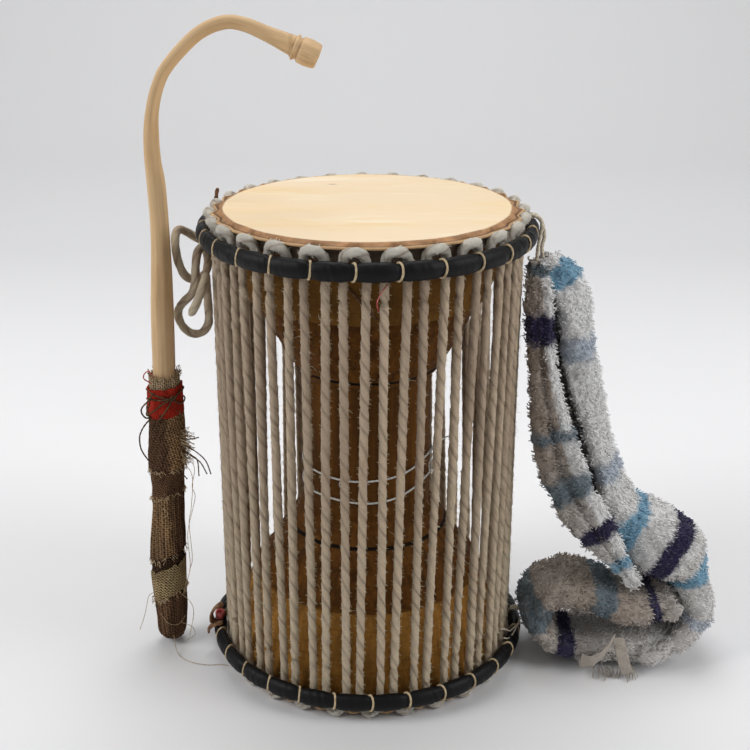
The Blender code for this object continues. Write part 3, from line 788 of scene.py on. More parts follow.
def skin_outline(side, plane, loops, turns):
    """The section of a skin's rim, lip and skirt at each angle, as radius and height."""
    draw = random.Random(21 + side)
    waves = [(draw.randint(3, 40), draw.uniform(0, TAU), draw.uniform(0.2, 1.0)) for _ in range(9)]
    outline = []
    for k in range(turns):
        turn = TAU * k / turns
        scallop = min(1.0, nearest(turn, loops) / (TAU / len(loops) / 2)) ** 1.2
        rough = sum(a * math.sin(n * turn + p) for n, p, a in waves) / 9
        lip = 0.0928 + 0.0034 * scallop + 0.0003 * rough
        drop = 0.0017 + 0.0010 * (1 - scallop) + 0.0002 * rough
        flat = 0.00008 if side > 0 else 0.0
        ring = [(0.0885, flat), (0.0895, 0.0001), (0.0902, 0.0006),
            (min(0.0914, lip - 0.0025), 0.0014), (lip - 0.0022, drop), (lip - 0.0012, drop + 0.0003),
            (lip - 0.0007, drop - 0.0004), (lip, drop - 0.0005), (lip + 0.0006, drop + 0.0001),
            (lip + 0.0006, drop + 0.0008), (lip - 0.0002, drop + 0.0013),
            (lip - 0.0014, drop + 0.0015), (min(0.0923, lip - 0.0016), drop + 0.0022),
            (0.0911 + 0.0004 * rough, 0.0060), (0.0909 + 0.0004 * rough, 0.0112 + 0.0007 * rough),
            (0.0898, 0.0112), (0.0895, 0.0060), (0.0893, SKIN)]
        outline.append([(r, plane - side * d) for r, d in ring])
    return outline


def skin_hair(name, side, plane, turns):
    """The short hair left under a skin's lip."""
    fringe = bpy.data.meshes.new(f"{name}_hair_band")
    band = [*level_ring(turns, 0.0926, plane - side * 0.0044),
            *level_ring(turns, 0.0916, plane - side * 0.0078)]
    fringe.from_pydata(band, [], [(k, (k + 1) % turns, turns + (k + 1) % turns, turns + k)[::side]
                                  for k in range(turns)])
    hair = Paint(f"{name}_skin_hair").finish((0.17, 0.12, 0.08), 0.9)
    tree = fibre_growth(f"{name} skin hair", hair)
    grown = tree.grow(f"{name}_skin_hair", fringe, Density=1500000.0, Length=0.0030,
                      Thickness=0.00032, Stand=0.35, Bend=0.9, Seed=3 + side)
    place(grown, "head_skin")


class DRUM_OT_heads(bpy.types.Operator):
    """Stretches the two skins over the rims, with their brown rims and wavy cut edges"""
    bl_idname = "drum.heads"
    bl_label = "Skins"

    def execute(self, context):
        for side, name in ((1, "upper"), (-1, "lower")):
            plane = sizes().height if side > 0 else 0.0
            loops = np.array(loop_angles(side))
            turns = 432
            outline = skin_outline(side, plane, loops, turns)
            inner = (0.0004, 0.012, 0.026, 0.040, 0.054, 0.066, 0.076, 0.083)
            rings = [level_ring(turns, radius, plane - side * 0.00008) for radius in inner]
            rings += [[round_the_drum(TAU * k / turns, *outline[k][j]) for k in range(turns)]
                      for j in range(len(outline[0]))]
            rings += [level_ring(turns, radius, plane - side * SKIN)
                      for radius in (0.083, 0.060, 0.030, 0.0004)]
            paint = skin_paint(name, side, plane)
            lips = [0.0] * (len(inner) + 4) + [0.5, 0.5, 0.7, 1.0, 1.0, 1.0, 1.0, 0.5] + [0.0] * 10
            head = rings_mesh(f"{name}_skin_head", rings, paint, attributes={"lip": np.repeat(lips, turns)})
            place(head, "head_skin", f"{name}_head")
            skin_hair(name, side, plane, turns)
        return {"FINISHED"}


# The hoops, their bindings, and the lacing


PINCH = 0.62


def hoop_section(turn, loops):
    """The size of a hoop's section at an angle: full between two bindings, and pinched at each."""
    share = min(1.0, nearest(turn, loops) / (TAU / len(loops) / 2 * 0.78))
    return PINCH + (1.0 - PINCH) * (1.0 - (1.0 - share) ** 2.4) ** 0.75


def padding_paint():
    """Black padding with a little dust."""
    black = Paint("hoop_black_padding")
    soft = black.noise(black.where, 70.0, 4.0)
    dust = black.noise(black.where, 650.0, 2.0).step(0.70, 0.78)
    tone = black.mix(soft.step(0.4, 0.8), colour("hoop"), colour("hoop", 1.8))
    tone = black.mix(dust * 0.25, tone, (0.16, 0.155, 0.15))
    grain = black.noise(black.where, 1500.0, 3.0)
    return black.finish(tone, 0.40 + soft * 0.2, grain * 0.2 + soft * 0.6, 0.0006,
                        Specular_IOR_Level=0.2)


def hoop_bindings(name, radius, level, loops, string):
    """A string tied round a hoop at every loop of the lacing."""
    ties = bpy.data.meshes.new(f"{name}_binding_places")
    ties.from_pydata([round_the_drum(turn, radius, level) for turn in loops], [], [])
    ties.attributes.new("turn", "FLOAT", "POINT").data.foreach_set("value", loops)
    tree = Growth(f"{name} bindings", Section_width=HOOP_WIDTH / 2 * PINCH + 0.0010,
        Section_height=HOOP_HEIGHT / 2 * (0.30 + 0.70 * PINCH) + 0.0008, String=0.0014, Slant=0.16)
    ring = tree.node("GeometryNodeCurvePrimitiveCircle", {}, {"Resolution": 28, "Radius": 1.0})
    x, y, _ = tree.parts(tree.node("GeometryNodeInputPosition"))
    oval = tree.xyz(x * tree.given("Section width"), y * tree.given("Slant") * 0.004,
                    y * tree.given("Section height"))
    ring = tree.node("GeometryNodeSetPosition", {}, {0: ring, "Position": oval})
    thread = tree.node("GeometryNodeCurvePrimitiveCircle", {},
                       {"Resolution": 8, "Radius": tree.given("String") / 2.0})
    band = tree.node("GeometryNodeCurveToMesh", {}, {0: ring, 1: thread})
    spin = tree.node("GeometryNodeInputNamedAttribute", {}, {"Name": "turn"}) - math.pi / 2
    spin = spin + tree.drawn(-0.03, 0.03, 5)
    turned = tree.node("FunctionNodeEulerToRotation", {}, {0: tree.xyz(z=spin)})
    bands = tree.node("GeometryNodeInstanceOnPoints", {},
                      {0: tree.carrier, "Instance": band, "Rotation": turned})
    tree.end(bands, string)
    bindings = tree.grow(f"{name}_hoop_bindings", ties)
    place(bindings, "black_padding")


class DRUM_OT_hoops(bpy.types.Operator):
    """Pads the two black hoops, and ties a string round them at every loop of the lacing"""
    bl_idname = "drum.hoops"
    bl_label = "Hoops and bindings"

    def execute(self, context):
        black = padding_paint()
        string = fleck_paint("hoop_binding_string", 500.0, (0.60, 0.47, 0.29), (0.36, 0.26, 0.14), 0.0005,
                             rough=0.85, Sheen_Weight=0.2)
        radius, section_sides = sizes().hoop_radius, 36
        for side, name in ((1, "upper"), (-1, "lower")):
            loops = np.array(loop_angles(side))
            level = hoop_level(side)
            draw = random.Random(31 + side)
            folds = [(draw.uniform(60, 190), draw.uniform(0, TAU), draw.uniform(0, TAU)) for _ in range(6)]
            rings = []
            spots = len(loops) * 26
            for k in range(spots):
                turn = TAU * k / spots
                size = hoop_section(turn, loops)
                pucker = 0.00016 * math.exp(-(nearest(turn, loops) * radius / 0.003) ** 2)
                ring = []
                for s in range(section_sides):
                    a = TAU * s / section_sides
                    crease = pucker * math.sin(9 * a) + 0.00005 * sum(
                        math.sin(n * turn + p + 2 * a) for n, p, _ in folds)
                    out = math.cos(a) * (HOOP_WIDTH / 2 * size + crease - 0.0001)
                    up = math.sin(a) * (HOOP_HEIGHT / 2 * (0.30 + 0.70 * size) + crease - 0.0001)
                    ring.append(round_the_drum(turn, radius + out, level + up))
                rings.append(ring)
            hoop = rings_mesh(f"{name}_padded_hoop", rings, black, closed=True)
            place(hoop, "black_padding", f"{name}_hoop")

            hoop_bindings(name, radius, level, loops, string)
        return {"FINISHED"}


def lacing_loop(centre, plane, side, radius):
    """Points over one hoop, from the strand on its left to the strand on its right."""
    top = plane - side * LOOP_RISE
    foot = plane - side * (HOOP_DROP + HOOP_HEIGHT / 2)
    shoulder = (STRAND_RADIUS + 0.0006, top - side * 0.0037)
    shape = [(-1.0, STRAND_RADIUS, foot), (-0.86, *shoulder), (0.0, radius - 0.0037, top), (0.86, *shoulder),
             (1.0, STRAND_RADIUS, foot)]
    return [round_the_drum(centre + LOOP_HALF_ANGLE * a, r, z) for a, r, z in shape]


def strand(start, end):
    """Points on the straight stretch between two loops, close together near its ends."""
    return [start.lerp(end, share) for share in (0.02, 0.06, 0.3, 0.5, 0.7, 0.94, 0.98)]


class DRUM_OT_lacing(bpy.types.Operator):
    """Laces the two hoops together with one long cord of twisted cloth, and fuzzes it"""
    bl_idname = "drum.lacing"
    bl_label = "Lacing"

    def execute(self, context):
        paint = cloth_cord_paint("lacing_cloth", colour("cord"), colour("clean_cord"), 0.291, 0.0105)
        lint = cloth_cord_paint("lacing_lint", colour("cord", 1.2), colour("clean_cord"), 0.291, 0.0105)
        upper, lower = loop_angles(1), loop_angles(-1)
        draw = random.Random(12)
        cord, height = sizes().cord, sizes().height
        routes = {"right": [], "left": []}
        for i in range(sizes().loops):
            loops = [lacing_loop(upper[i], height, 1, sizes().hoop_radius),
                     lacing_loop(lower[i], 0.0, -1, sizes().hoop_radius)]
            after = lacing_loop(upper[(i + 1) % len(upper)], height, 1, sizes().hoop_radius)
            # one stretch: over the upper loop, down a strand, under the lower loop, up to the next
            points = loops[0] + strand(loops[0][-1], loops[1][0]) + loops[1] + strand(loops[1][-1], after[0])
            points.append(after[0])
            path = smooth_route(points, 0.0018)
            thin = [draw.uniform(0.88, 1.04) for _ in range(8)]
            run = np.linspace(0, 1, len(path))
            swell = np.interp(run, np.linspace(0, 1, 8), thin)
            fat = []
            for p, s in zip(path, swell):
                up = max(0.0, min(1.0, (p.z - 0.290) / 0.010))
                down = max(0.0, min(1.0, (0.016 - p.z) / 0.006))
                fat.append(cord * (s * (1.0 - up) + 1.14 * up + 0.06 * down))
            half = "right" if upper[i] % TAU < math.pi else "left"
            routes[half].append((path, fat))
        for half, lines in routes.items():
            tree = cord_growth(f"Lacing {half}", paint, 12, 2, 0.12)
            data = lines_curve(f"lacing_{half}_line", lines)
            strands = tree.grow(f"lacing_{half}_half", data, **{"Turn length": -sizes().turn_length,
                "Unevenness": 9.0, "Lumps": 0.00042, "Lump size": 0.0032})
            place(strands, "cloth_cord", "tension_cord")
            fuzz = fibre_growth(f"Lacing fuzz {half}", lint, segments=2)
            parts = [fuzz.grow(f"lacing_{half}_{label}", strands.data, Density=density, Length=length,
                               Thickness=thick, Stand=stand, Bend=bend, Locks=1.5, Seed=seed)
                     for label, density, length, thick, stand, bend, seed in (
                         ("fuzz", 66000.0, 0.0030, 0.00080, 0.7, 0.6, 9),
                         ("lint", 1500.0, 0.0056, 0.00055, 0.4, 1.5, 4))]
            place(join(f"lacing_{half}_fuzz", parts), "cloth_cord")
        return {"FINISHED"}


# The beater


BEATER_X, BEATER_Y = -0.1305, -0.0060
STICK_ROWS = [
    # height, to the right of the shaft's line, radius
    (0.0100, -0.0045, 0.0060), (0.0600, -0.0045, 0.0074), (0.1200, -0.0017, 0.0075),
    (0.1660, -0.0003, 0.0076), (0.1920, 0.0, 0.0077), (0.2400, 0.0012, 0.0078), (0.2880, 0.0024, 0.0063),
    (0.3190, 0.0017, 0.0061), (0.3350, 0.0004, 0.0053), (0.3500, 0.0004, 0.0049), (0.3645, 0.0019, 0.0042),
    (0.3793, 0.0060, 0.0039), (0.3919, 0.0131, 0.0039), (0.4089, 0.0304, 0.0040), (0.4158, 0.0457, 0.0042),
    (0.4150, 0.0580, 0.0043), (0.4092, 0.0722, 0.0048), (0.4040, 0.0835, 0.0060), (0.4024, 0.0872, 0.0064),
]
KNOB_ROWS = [
    # beyond the stick's last row, along it, and the radius there
    (0.0002, 0.0073), (0.0006, 0.0077), (0.0015, 0.0077), (0.0020, 0.0074), (0.0022, 0.0067), (0.0036, 0.0066),
    (0.0040, 0.0074), (0.0048, 0.0079), (0.0090, 0.0082), (0.0135, 0.0077), (0.0150, 0.0073), (0.0156, 0.0066),
]
GRIP_ROWS = [
    # height, and the radius of the cloth there
    (0.0040, 0.0076), (0.0075, 0.0091), (0.0120, 0.0098), (0.0200, 0.0102), (0.0300, 0.0109), (0.0550, 0.0114),
    (0.0770, 0.0114), (0.0980, 0.0101), (0.1190, 0.0102), (0.1410, 0.0111), (0.1640, 0.0103), (0.1945, 0.0100),
]


def faceted(turn, facets):
    """The share of the radius at an angle of a stick cut by a knife on several sides."""
    return min(d / max(0.2, math.cos(turn - at)) for at, d in facets)


def wrap(name, material, low, high, out, pleat=0.0, pleats=14, rag=0.0012, lean=0.0, slant=0.0, wall=0.0009,
         seed=1):
    """One layer of cloth round the grip, between two heights, with ragged edges and pleats. It is higher at
    the right by lean, and the pleats turn by slant radians in a metre of height."""
    draw = random.Random(seed)
    waves = [(draw.randint(2, 26), draw.uniform(0, TAU), draw.uniform(0.3, 1.0)) for _ in range(8)]
    shifts = [draw.uniform(0.6, 1.4) for _ in range(pleats)]
    edges = np.cumsum(shifts) / sum(shifts) * TAU
    rings, rows, sides = [], 22, 120
    for j in [*range(rows), *range(rows - 1, -1, -1)]:
        inside = len(rings) >= rows
        ring = []
        for k in range(sides):
            turn = TAU * k / sides
            rough, other = (rag / 3 * sum(a * math.sin(n * turn + m * p) for n, p, a in waves)
                for m in (1, 2))
            z = low + rough + (high + other - low - rough) * j / (rows - 1) + lean * math.sin(turn)
            at = (turn - slant * (z - low) + 0.12 * math.sin(60 * z)) % TAU
            fold = 1.0 - min(1.0, nearest(at, edges) / (TAU / pleats * 0.42)) ** 1.4
            radius = between(GRIP_ROWS, z)[0] + out + pleat * fold - (wall if inside else 0.0)
            radius += 0.0003 * math.sin(3 * turn + 90 * z) + 0.0002 * math.sin(7 * turn - 150 * z)
            dx = between(STICK_ROWS, z)[0]
            ring.append((BEATER_X + dx + radius * math.sin(turn), BEATER_Y - radius * math.cos(turn), z))
        rings.append(ring)
    return rings_mesh(name, rings, material, closed=True)


def beater_paint():
    """Peeled wood with streaks along it, and a dark ring before the knob."""
    wood = Paint("peeled_beater_wood")
    x, _, z = wood.parts(wood.where)
    lie = wood.attribute("grain", "Vector")
    streak = wood.streaks(lie, (420.0, 420.0, 12.0), 4.0, 0.6)
    patch = wood.streaks(lie, (60.0, 60.0, 14.0), 4.0)
    tone = wood.mix(streak.step(0.3, 0.75), colour("stick", 1.20), colour("stick", 0.84))
    tone = wood.mix(patch.step(0.45, 0.75) * 0.5, tone, (0.43, 0.24, 0.095))
    hook = (x + 0.0467).step(0.0, 0.0015) * (1.0 - (x + 0.0437).step(0.0, 0.0008)) * z.step(0.385, 0.39)
    tone = wood.mix(hook * 0.35, tone, (0.32, 0.17, 0.06))
    chips = wood.streaks(lie, (120.0, 120.0, 40.0), 3.0)
    return wood.finish(tone, 0.5 + streak * 0.2, streak * 0.4 + chips * 0.7, 0.0006,
                       Specular_IOR_Level=0.4)


class DRUM_OT_beater(bpy.types.Operator):
    """Cuts the hooked beater from peeled wood, with its knife facets and its knob"""
    bl_idname = "drum.beater"
    bl_label = "Beater"

    def execute(self, context):
        heights = np.linspace(0, len(STICK_ROWS) - 1, 230)
        table = [(i, *row) for i, row in enumerate(STICK_ROWS)]
        spots = [between(table, at) for at in heights]
        line = [Vector((BEATER_X + dx, BEATER_Y, z)) for z, dx, _ in spots]
        widths = [r for _, _, r in spots]
        away = (line[-1] - line[-2]).normalized()
        tip = line[-1].copy()
        for along, radius in KNOB_ROWS:
            line.append(tip + away * along)
            widths.append(radius)
        sides, rings, grain = 44, [], []
        travelled = 0.0
        for i, (spot, radius) in enumerate(zip(line, widths)):
            way = way_at(line, i)
            travelled += (spot - line[i - 1]).length if i else 0.0
            across = way.cross(Vector((0, 1, 0))).normalized()
            knob = i >= len(heights) - 4
            turns = [TAU * f / 7 + 0.35 * math.sin(2.3 * f) + 0.5 * math.sin(3.1 * travelled + f)
                     for f in range(7)]
            facets = [(turn % TAU + lap, 0.93 + 0.06 * math.sin(17 * travelled + 2.1 * f))
                      for f, turn in enumerate(turns) for lap in (0, -TAU, TAU)]
            ring = []
            for k in range(sides):
                turn = TAU * k / sides
                cut = 1.0 if knob else min(1.04, faceted(turn, facets))
                cut *= 1.0 + 0.008 * math.sin(31 * travelled * 3 + k)
                out = across * math.cos(turn) + Vector((0, 1, 0)) * math.sin(turn)
                ring.append(spot + out * radius * cut)
                grain.append((radius * math.cos(turn), radius * math.sin(turn), travelled))
            rings.append(ring)
        for inset in (0.85, 0.45, 0.05):
            rings.append([line[-1] + away * 0.0004 * (1.2 - inset) + (p - line[-1]) * inset for p in ring])
            grain += [(x * inset, y * inset, z) for x, y, z in grain[-sides:]]
        paint = beater_paint()
        stick = rings_mesh("hooked_beater", rings, paint, attributes={"grain": grain})
        place(stick, "beater_wood", "beater_stick")
        return {"FINISHED"}


def coarse_cloth_paint(name, light, dark, threads, right=None, strips=0.0, slant=0.0):
    """A worn woven cloth, drawn by two crossed sets of threads round the grip; right is its pair of colours
    towards the right side, and strips darkens it in upright strips."""
    paint = Paint(name)
    x, y, z = paint.parts(paint.where)
    turn = (y - BEATER_Y).math("ARCTAN2", y - BEATER_Y, x - BEATER_X)
    bend = paint.noise(paint.where, 150.0, 3.0) - 0.5
    around = turn * 0.011 + bend * 0.0016 + z * slant
    up = z + bend * 0.0012 - turn * 0.011 * slant
    warp, weft = (around * threads).sine(), (up * threads * 1.05).sine()
    check = (around * threads * 0.5).sine() * (up * threads * 0.525).sine()
    cross = warp * 0.6 + weft * 0.55 + check * 0.6
    soil = paint.noise(paint.where, 60.0, 5.0, 0.7)
    slub = paint.streaks(paint.where, (500.0, 500.0, 160.0), 3.0, 0.7)
    if right:
        side = (x - BEATER_X + bend * 0.008).step(-0.001, 0.0045)
        light, dark = paint.mix(side, light, right[0]), paint.mix(side, dark, right[1])
    tone = paint.mix((cross + (slub - 0.5) * 1.3).step(-1.0, 0.7), dark, light)
    tone = paint.mix(soil.step(0.45, 0.70) * 0.45, tone, (0.022, 0.013, 0.008))
    if strips:
        dark_strips = paint.streaks(paint.where, (330.0, 330.0, 18.0), 2.0)
        tone = paint.mix(dark_strips.step(0.40, 0.52) * strips, tone, (0.020, 0.012, 0.008))
    fleck = paint.noise(paint.where, 1300.0, 2.0)
    tone = paint.mix(fleck.step(0.58, 0.72) * 0.5, tone, (0.30, 0.22, 0.14))
    return paint.finish(tone, 0.93, cross * 0.5 + slub * 1.2, 0.0009, Specular_IOR_Level=0.06)


def thin_cords(name, material, routes, step=0.0008, turn_length=0.006, sides=8, slot="grip_cloth", nodes=()):
    """Short strings on smooth lines; a route is (points, thickness)."""
    lines = []
    for points, thick in routes:
        path = smooth_route(points, step)
        lines.append((path, [thick] * len(path)))
    tree = cord_growth(name, material, sides, 2, 0.22)
    piece = tree.grow(name, lines_curve(name, lines), **{"Turn length": turn_length, "Lumps": thick * 0.05,
                                                         "Lump size": 0.002})
    return place(piece, slot, *nodes)


def on_grip(turn, height, out):
    """A point on the grip's outside, an angle to the right of its front."""
    height = float(height)
    radius = between(GRIP_ROWS, height)[0] + out
    return (BEATER_X + between(STICK_ROWS, height)[0] + radius * math.sin(turn),
            BEATER_Y - radius * math.cos(turn), height)


def grip_windings():
    """The dark cords over the red band, with their knot, and the stiff ends beside it."""
    string = fleck_paint("grip_dark_cord", 700.0, (0.17, 0.105, 0.055), (0.055, 0.032, 0.018), 0.0005,
                         Specular_IOR_Level=0.1)
    # the cords over the red band meet in a knot in front, a little to the right
    knot = (0.54, 0.1840)
    over_band = [
        [(-1.2, 0.1885), (-0.5, 0.1870), (0.1, 0.1850), knot, (1.0, 0.1870), (1.5, 0.1885), (2.6, 0.1860)],
        [(-1.3, 0.1700), (-0.6, 0.1750), (0.0, 0.1810), knot],
        [knot, (0.3, 0.1790), (-0.1, 0.1720), (-0.35, 0.1685)],
        [knot, (0.9, 0.1800), (1.4, 0.1790), (2.0, 0.1800), (3.0, 0.1790)],
        [(-1.6, 0.1800), (-0.8, 0.1830), (-0.1, 0.1835), knot],
        [(-3.2, 0.1790), (-2.2, 0.1800), (-1.5, 0.1740), (-0.9, 0.1700)],
        [(0.38, 0.1840), (0.54, 0.1856), (0.70, 0.1840), (0.54, 0.1824), (0.40, 0.1836)],
    ]
    coils = [([on_grip(turn, z, 0.0021) for turn, z in route], 0.0012) for route in over_band]
    coils += [([on_grip(-0.5, 0.1878, 0.0020), (-0.1388, -0.0200, 0.1847), (-0.1436, -0.0190, 0.1792),
                (-0.1445, -0.0180, 0.1751), (-0.1420, -0.0180, 0.1715), on_grip(-0.8, 0.1705, 0.0020)],
               0.0012),
              ([on_grip(-0.7, 0.1860, 0.0022), (-0.1390, -0.0195, 0.1813), (-0.1413, -0.0190, 0.1744),
                on_grip(-0.8, 0.1712, 0.0022)], 0.0010),
              ([on_grip(-0.8, 0.1700, 0.0020), (-0.1440, -0.0190, 0.1650), (-0.1467, -0.0185, 0.1580),
                (-0.1462, -0.0180, 0.1495), (-0.1425, -0.0180, 0.1424), on_grip(-0.9, 0.1382, 0.0012)],
               0.0011)]
    # the stiff ends that stick out at the right
    coils += [([on_grip(1.1, z, 0.0010), *points], 0.0009) for z, points in (
        (0.1560, [(-0.1160, -0.0140, 0.1550), (-0.1091, -0.0140, 0.1562)]),
        (0.1500, [(-0.1140, -0.0140, 0.1480), (-0.1059, -0.0140, 0.1402), (-0.1024, -0.0140, 0.1301)]),
        (0.1470, [(-0.1155, -0.0140, 0.1437), (-0.1092, -0.0140, 0.1387), (-0.1050, -0.0140, 0.1301)]),
        (0.1450, [(-0.1150, -0.0150, 0.1440), (-0.1110, -0.0140, 0.1400), (-0.1103, -0.0140, 0.1287)]),
        (0.1290, [(-0.1180, -0.0150, 0.1270)]))]
    coils += [([on_grip(-0.9 + 0.1 * k, 0.1175 + 0.002 * k, 0.0010),
                on_grip(-0.2 + 0.1 * k, 0.1310 + 0.001 * k, 0.0014)], 0.0008) for k in range(3)]
    thin_cords("grip_cord_windings", string, coils)


def grip_threads(pale):
    """The loose pale threads round the grip, and a pink loop at its top."""
    routes = [
        [on_grip(1.3, 0.1420, 0.0010), (-0.1129, -0.0160, 0.1360), (-0.1149, -0.0160, 0.1220),
         (-0.1135, -0.0155, 0.1132), (-0.1193, -0.0165, 0.0883), (-0.1190, -0.0160, 0.0626),
         (-0.1228, -0.0175, 0.0486), on_grip(1.1, 0.0391, 0.0008)],
        [on_grip(1.0, 0.1390, 0.0012), (-0.1145, -0.0165, 0.1300), (-0.1160, -0.0165, 0.1080),
         (-0.1180, -0.0170, 0.0950), (-0.1172, -0.0165, 0.0700), (-0.1195, -0.0170, 0.0600)],
        [on_grip(0.9, 0.0400, 0.0006), (-0.1195, -0.0160, 0.0340), (-0.1186, -0.0160, 0.0251),
         (-0.1218, -0.0170, 0.0097)],
        [on_grip(-1.1, 0.0400, 0.0006), (-0.1489, -0.0130, 0.0376), (-0.1520, -0.0140, 0.0247),
         (-0.1560, -0.0150, 0.0130)],
        [on_grip(0.2, 0.0090, 0.0002), (-0.1290, -0.0260, 0.0012), (-0.1200, -0.0350, 0.0006),
         (-0.1080, -0.0390, 0.0006), (-0.0980, -0.0385, 0.0006), (-0.0935, -0.0400, 0.0006)],
        [on_grip(-0.5, 0.0270, 0.0012), on_grip(-0.1, 0.0200, 0.0016),
         on_grip(0.5, 0.0180, 0.0016), on_grip(1.1, 0.0220, 0.0012)],
        [on_grip(-0.5, 0.1080, 0.0008), on_grip(0.0, 0.1060, 0.0026),
         on_grip(0.1, 0.1020, 0.0026), on_grip(-0.2, 0.0995, 0.0008)],
        [on_grip(0.8, 0.0180, 0.0008), (-0.1200, -0.0160, 0.0160), (-0.1180, -0.0180, 0.0110),
         (-0.1230, -0.0190, 0.0080)],
    ]
    thin_cords("grip_loose_threads", pale, [(route, 0.0005) for route in routes], turn_length=0.004,
        sides=6)
    rag = Paint("pink_rag_thread")
    rag = rag.finish(rag.mix(rag.noise(rag.where, 400.0), (0.60, 0.16, 0.15), (0.35, 0.06, 0.06)), 0.9)
    thin_cords("grip_pink_loop", rag, [([on_grip(-0.6, 0.1945, -0.0020), (-0.1370, -0.0140, 0.1994),
                                        (-0.1393, -0.0140, 0.2020), (-0.1420, -0.0140, 0.1998),
                                        (-0.1422, -0.0140, 0.1967), on_grip(-0.8, 0.1935, 0.0004)],
                                       0.0009)])


def grip_frays(pale):
    """Frayed edges: at the right of the upper cloth, and round the layers."""
    draw = random.Random(17)
    frays = []
    for k in range(90):
        start = Vector(on_grip(draw.uniform(0.9, 1.6), 0.1380 + 0.0024 * (k % 10), 0.0008))
        reach = draw.uniform(0.002, 0.0075)
        end = Vector((reach, draw.uniform(-0.004, 0.001), draw.uniform(-0.005, 0.003)))
        frays.append(([start, start + end * 0.5 + Vector((0, 0, draw.uniform(-0.001, 0.001))),
            start + end], draw.uniform(0.0003, 0.0006)))
    for low, lean, count, out, length in ((0.1960, 0.0, 80, -0.0004, 0.0035),
            (0.1140, 0.003, 90, 0.0008, -0.0022), (0.0390, 0.0055, 70, 0.0008, -0.0030),
            (0.0690, 0.005, 60, 0.0004, -0.003), (0.1330, 0.0012, 100, 0.0012, -0.0026)):
        for k in range(count):
            turn = draw.uniform(0, TAU)
            z = low + lean * math.sin(turn) + draw.uniform(-0.0008, 0.0012)
            run = length * draw.uniform(0.3, 1.2)
            start = Vector(on_grip(turn, z, out - 0.0003))
            end = Vector(on_grip(turn + draw.uniform(-0.25, 0.25), max(0.002, z + run),
                                 out + draw.uniform(0.0, 0.0018)))
            frays.append(([start, (start + end) / 2 + Vector((draw.uniform(-1, 1) * 0.0006, 0, 0)), end],
                          draw.uniform(0.0003, 0.0006)))
    thin_cords("grip_frayed_ends", pale, frays, step=0.0016, sides=5)


class DRUM_OT_grip(bpy.types.Operator):
    """Wraps the beater's grip in old cloth, with the red band, the cords and the loose threads"""
    bl_idname = "drum.grip"
    bl_label = "Grip"

    def execute(self, context):
        brown, umber = colour("grip", 1.7), colour("grip", 0.42)
        tan, shadow = colour("burlap", 1.5), colour("burlap", 0.25)
        foot = coarse_cloth_paint("grip_foot_cloth", colour("grip", 3.2), umber, 3800.0, strips=0.4)
        upper = coarse_cloth_paint("grip_upper_cloth", brown, umber, 3600.0, right=(tan, shadow), slant=0.25)
        second = coarse_cloth_paint("grip_second_cloth", colour("grip", 2.6), umber, 4200.0, slant=0.5)
        lower = coarse_cloth_paint("grip_lower_burlap", tan, shadow, 3600.0,
            right=(colour("grip", 3.0), umber), strips=0.5)
        patch = coarse_cloth_paint("grip_patch_burlap", (0.50, 0.37, 0.19), (0.06, 0.04, 0.02), 3200.0,
                                   slant=0.8)
        beige = coarse_cloth_paint("grip_top_cloth", (0.55, 0.42, 0.26), (0.14, 0.085, 0.04), 4200.0)
        red = coarse_cloth_paint("grip_red_cloth", colour("red", 1.25), colour("red", 0.45), 7000.0)
        sole = [[(BEATER_X - 0.0045 + 0.0074 * share * math.sin(TAU * k / 48),
                  BEATER_Y - 0.0074 * share * math.cos(TAU * k / 48),
                  0.0052 - 0.0011 * (1 - share ** 2) ** 0.5) for k in range(48)]
                for share in (1.0, 0.8, 0.5, 0.2, 0.02)]
        core = coarse_cloth_paint("grip_core_cloth", colour("grip", 0.8), colour("grip", 0.2), 3800.0)
        parts = [wrap("grip_core", core, 0.0048, 0.1900, -0.0006, 0.0, 12, 0.0, wall=0.0022, seed=2),
                 rings_mesh("grip_sole", sole, foot)]
        # each layer's cloth, its two heights, how far out it lies, pleats, rag, lean, slant, seed
        parts += [wrap(f"grip_{name}", cloth, *numbers, seed=seed) for name, cloth, numbers, seed in (
            ("foot", foot, (0.0060, 0.0420, -0.0004, 0.0006, 15, 0.0012), 9),
            ("top", beige, (0.1860, 0.1965, -0.0006, 0.0009, 9, 0.0016), 3),
            ("upper", upper, (0.1330, 0.1740, 0.0006, 0.0008, 22, 0.0010, 0.0012, 24.0), 5),
            ("second", second, (0.1140, 0.1350, 0.0003, 0.0004, 12, 0.0010, 0.0030, 40.0), 6),
            ("lower", lower, (0.0690, 0.1170, -0.0003, 0.0010, 15, 0.0012, 0.0050), 7),
            ("patch", patch, (0.0390, 0.0605, 0.0003, 0.0003, 7, 0.0012, 0.0055), 8))]
        grip = join("beater_grip_wraps", parts)
        place(grip, "grip_cloth", "beater_grip")
        band = wrap("beater_grip_red_band", red, 0.1705, 0.1900, 0.0012, 0.0004, 12, 0.0005, 0.0012, seed=4)
        place(band, "red_cloth", "beater_grip_tie")

        grip_windings()

        pale = fleck_paint("loose_pale_thread", 900.0, (0.62, 0.47, 0.28), (0.24, 0.16, 0.09), 0.0003,
                           band=(0.35, 0.65))
        grip_threads(pale)
        grip_frays(pale)
        return {"FINISHED"}


# The threads, strings and scraps


WAIST_KNOT_TURN, RAG_TURN, THONG_TURN = (math.radians(angle) for angle in (68, -84.0, -107.7))


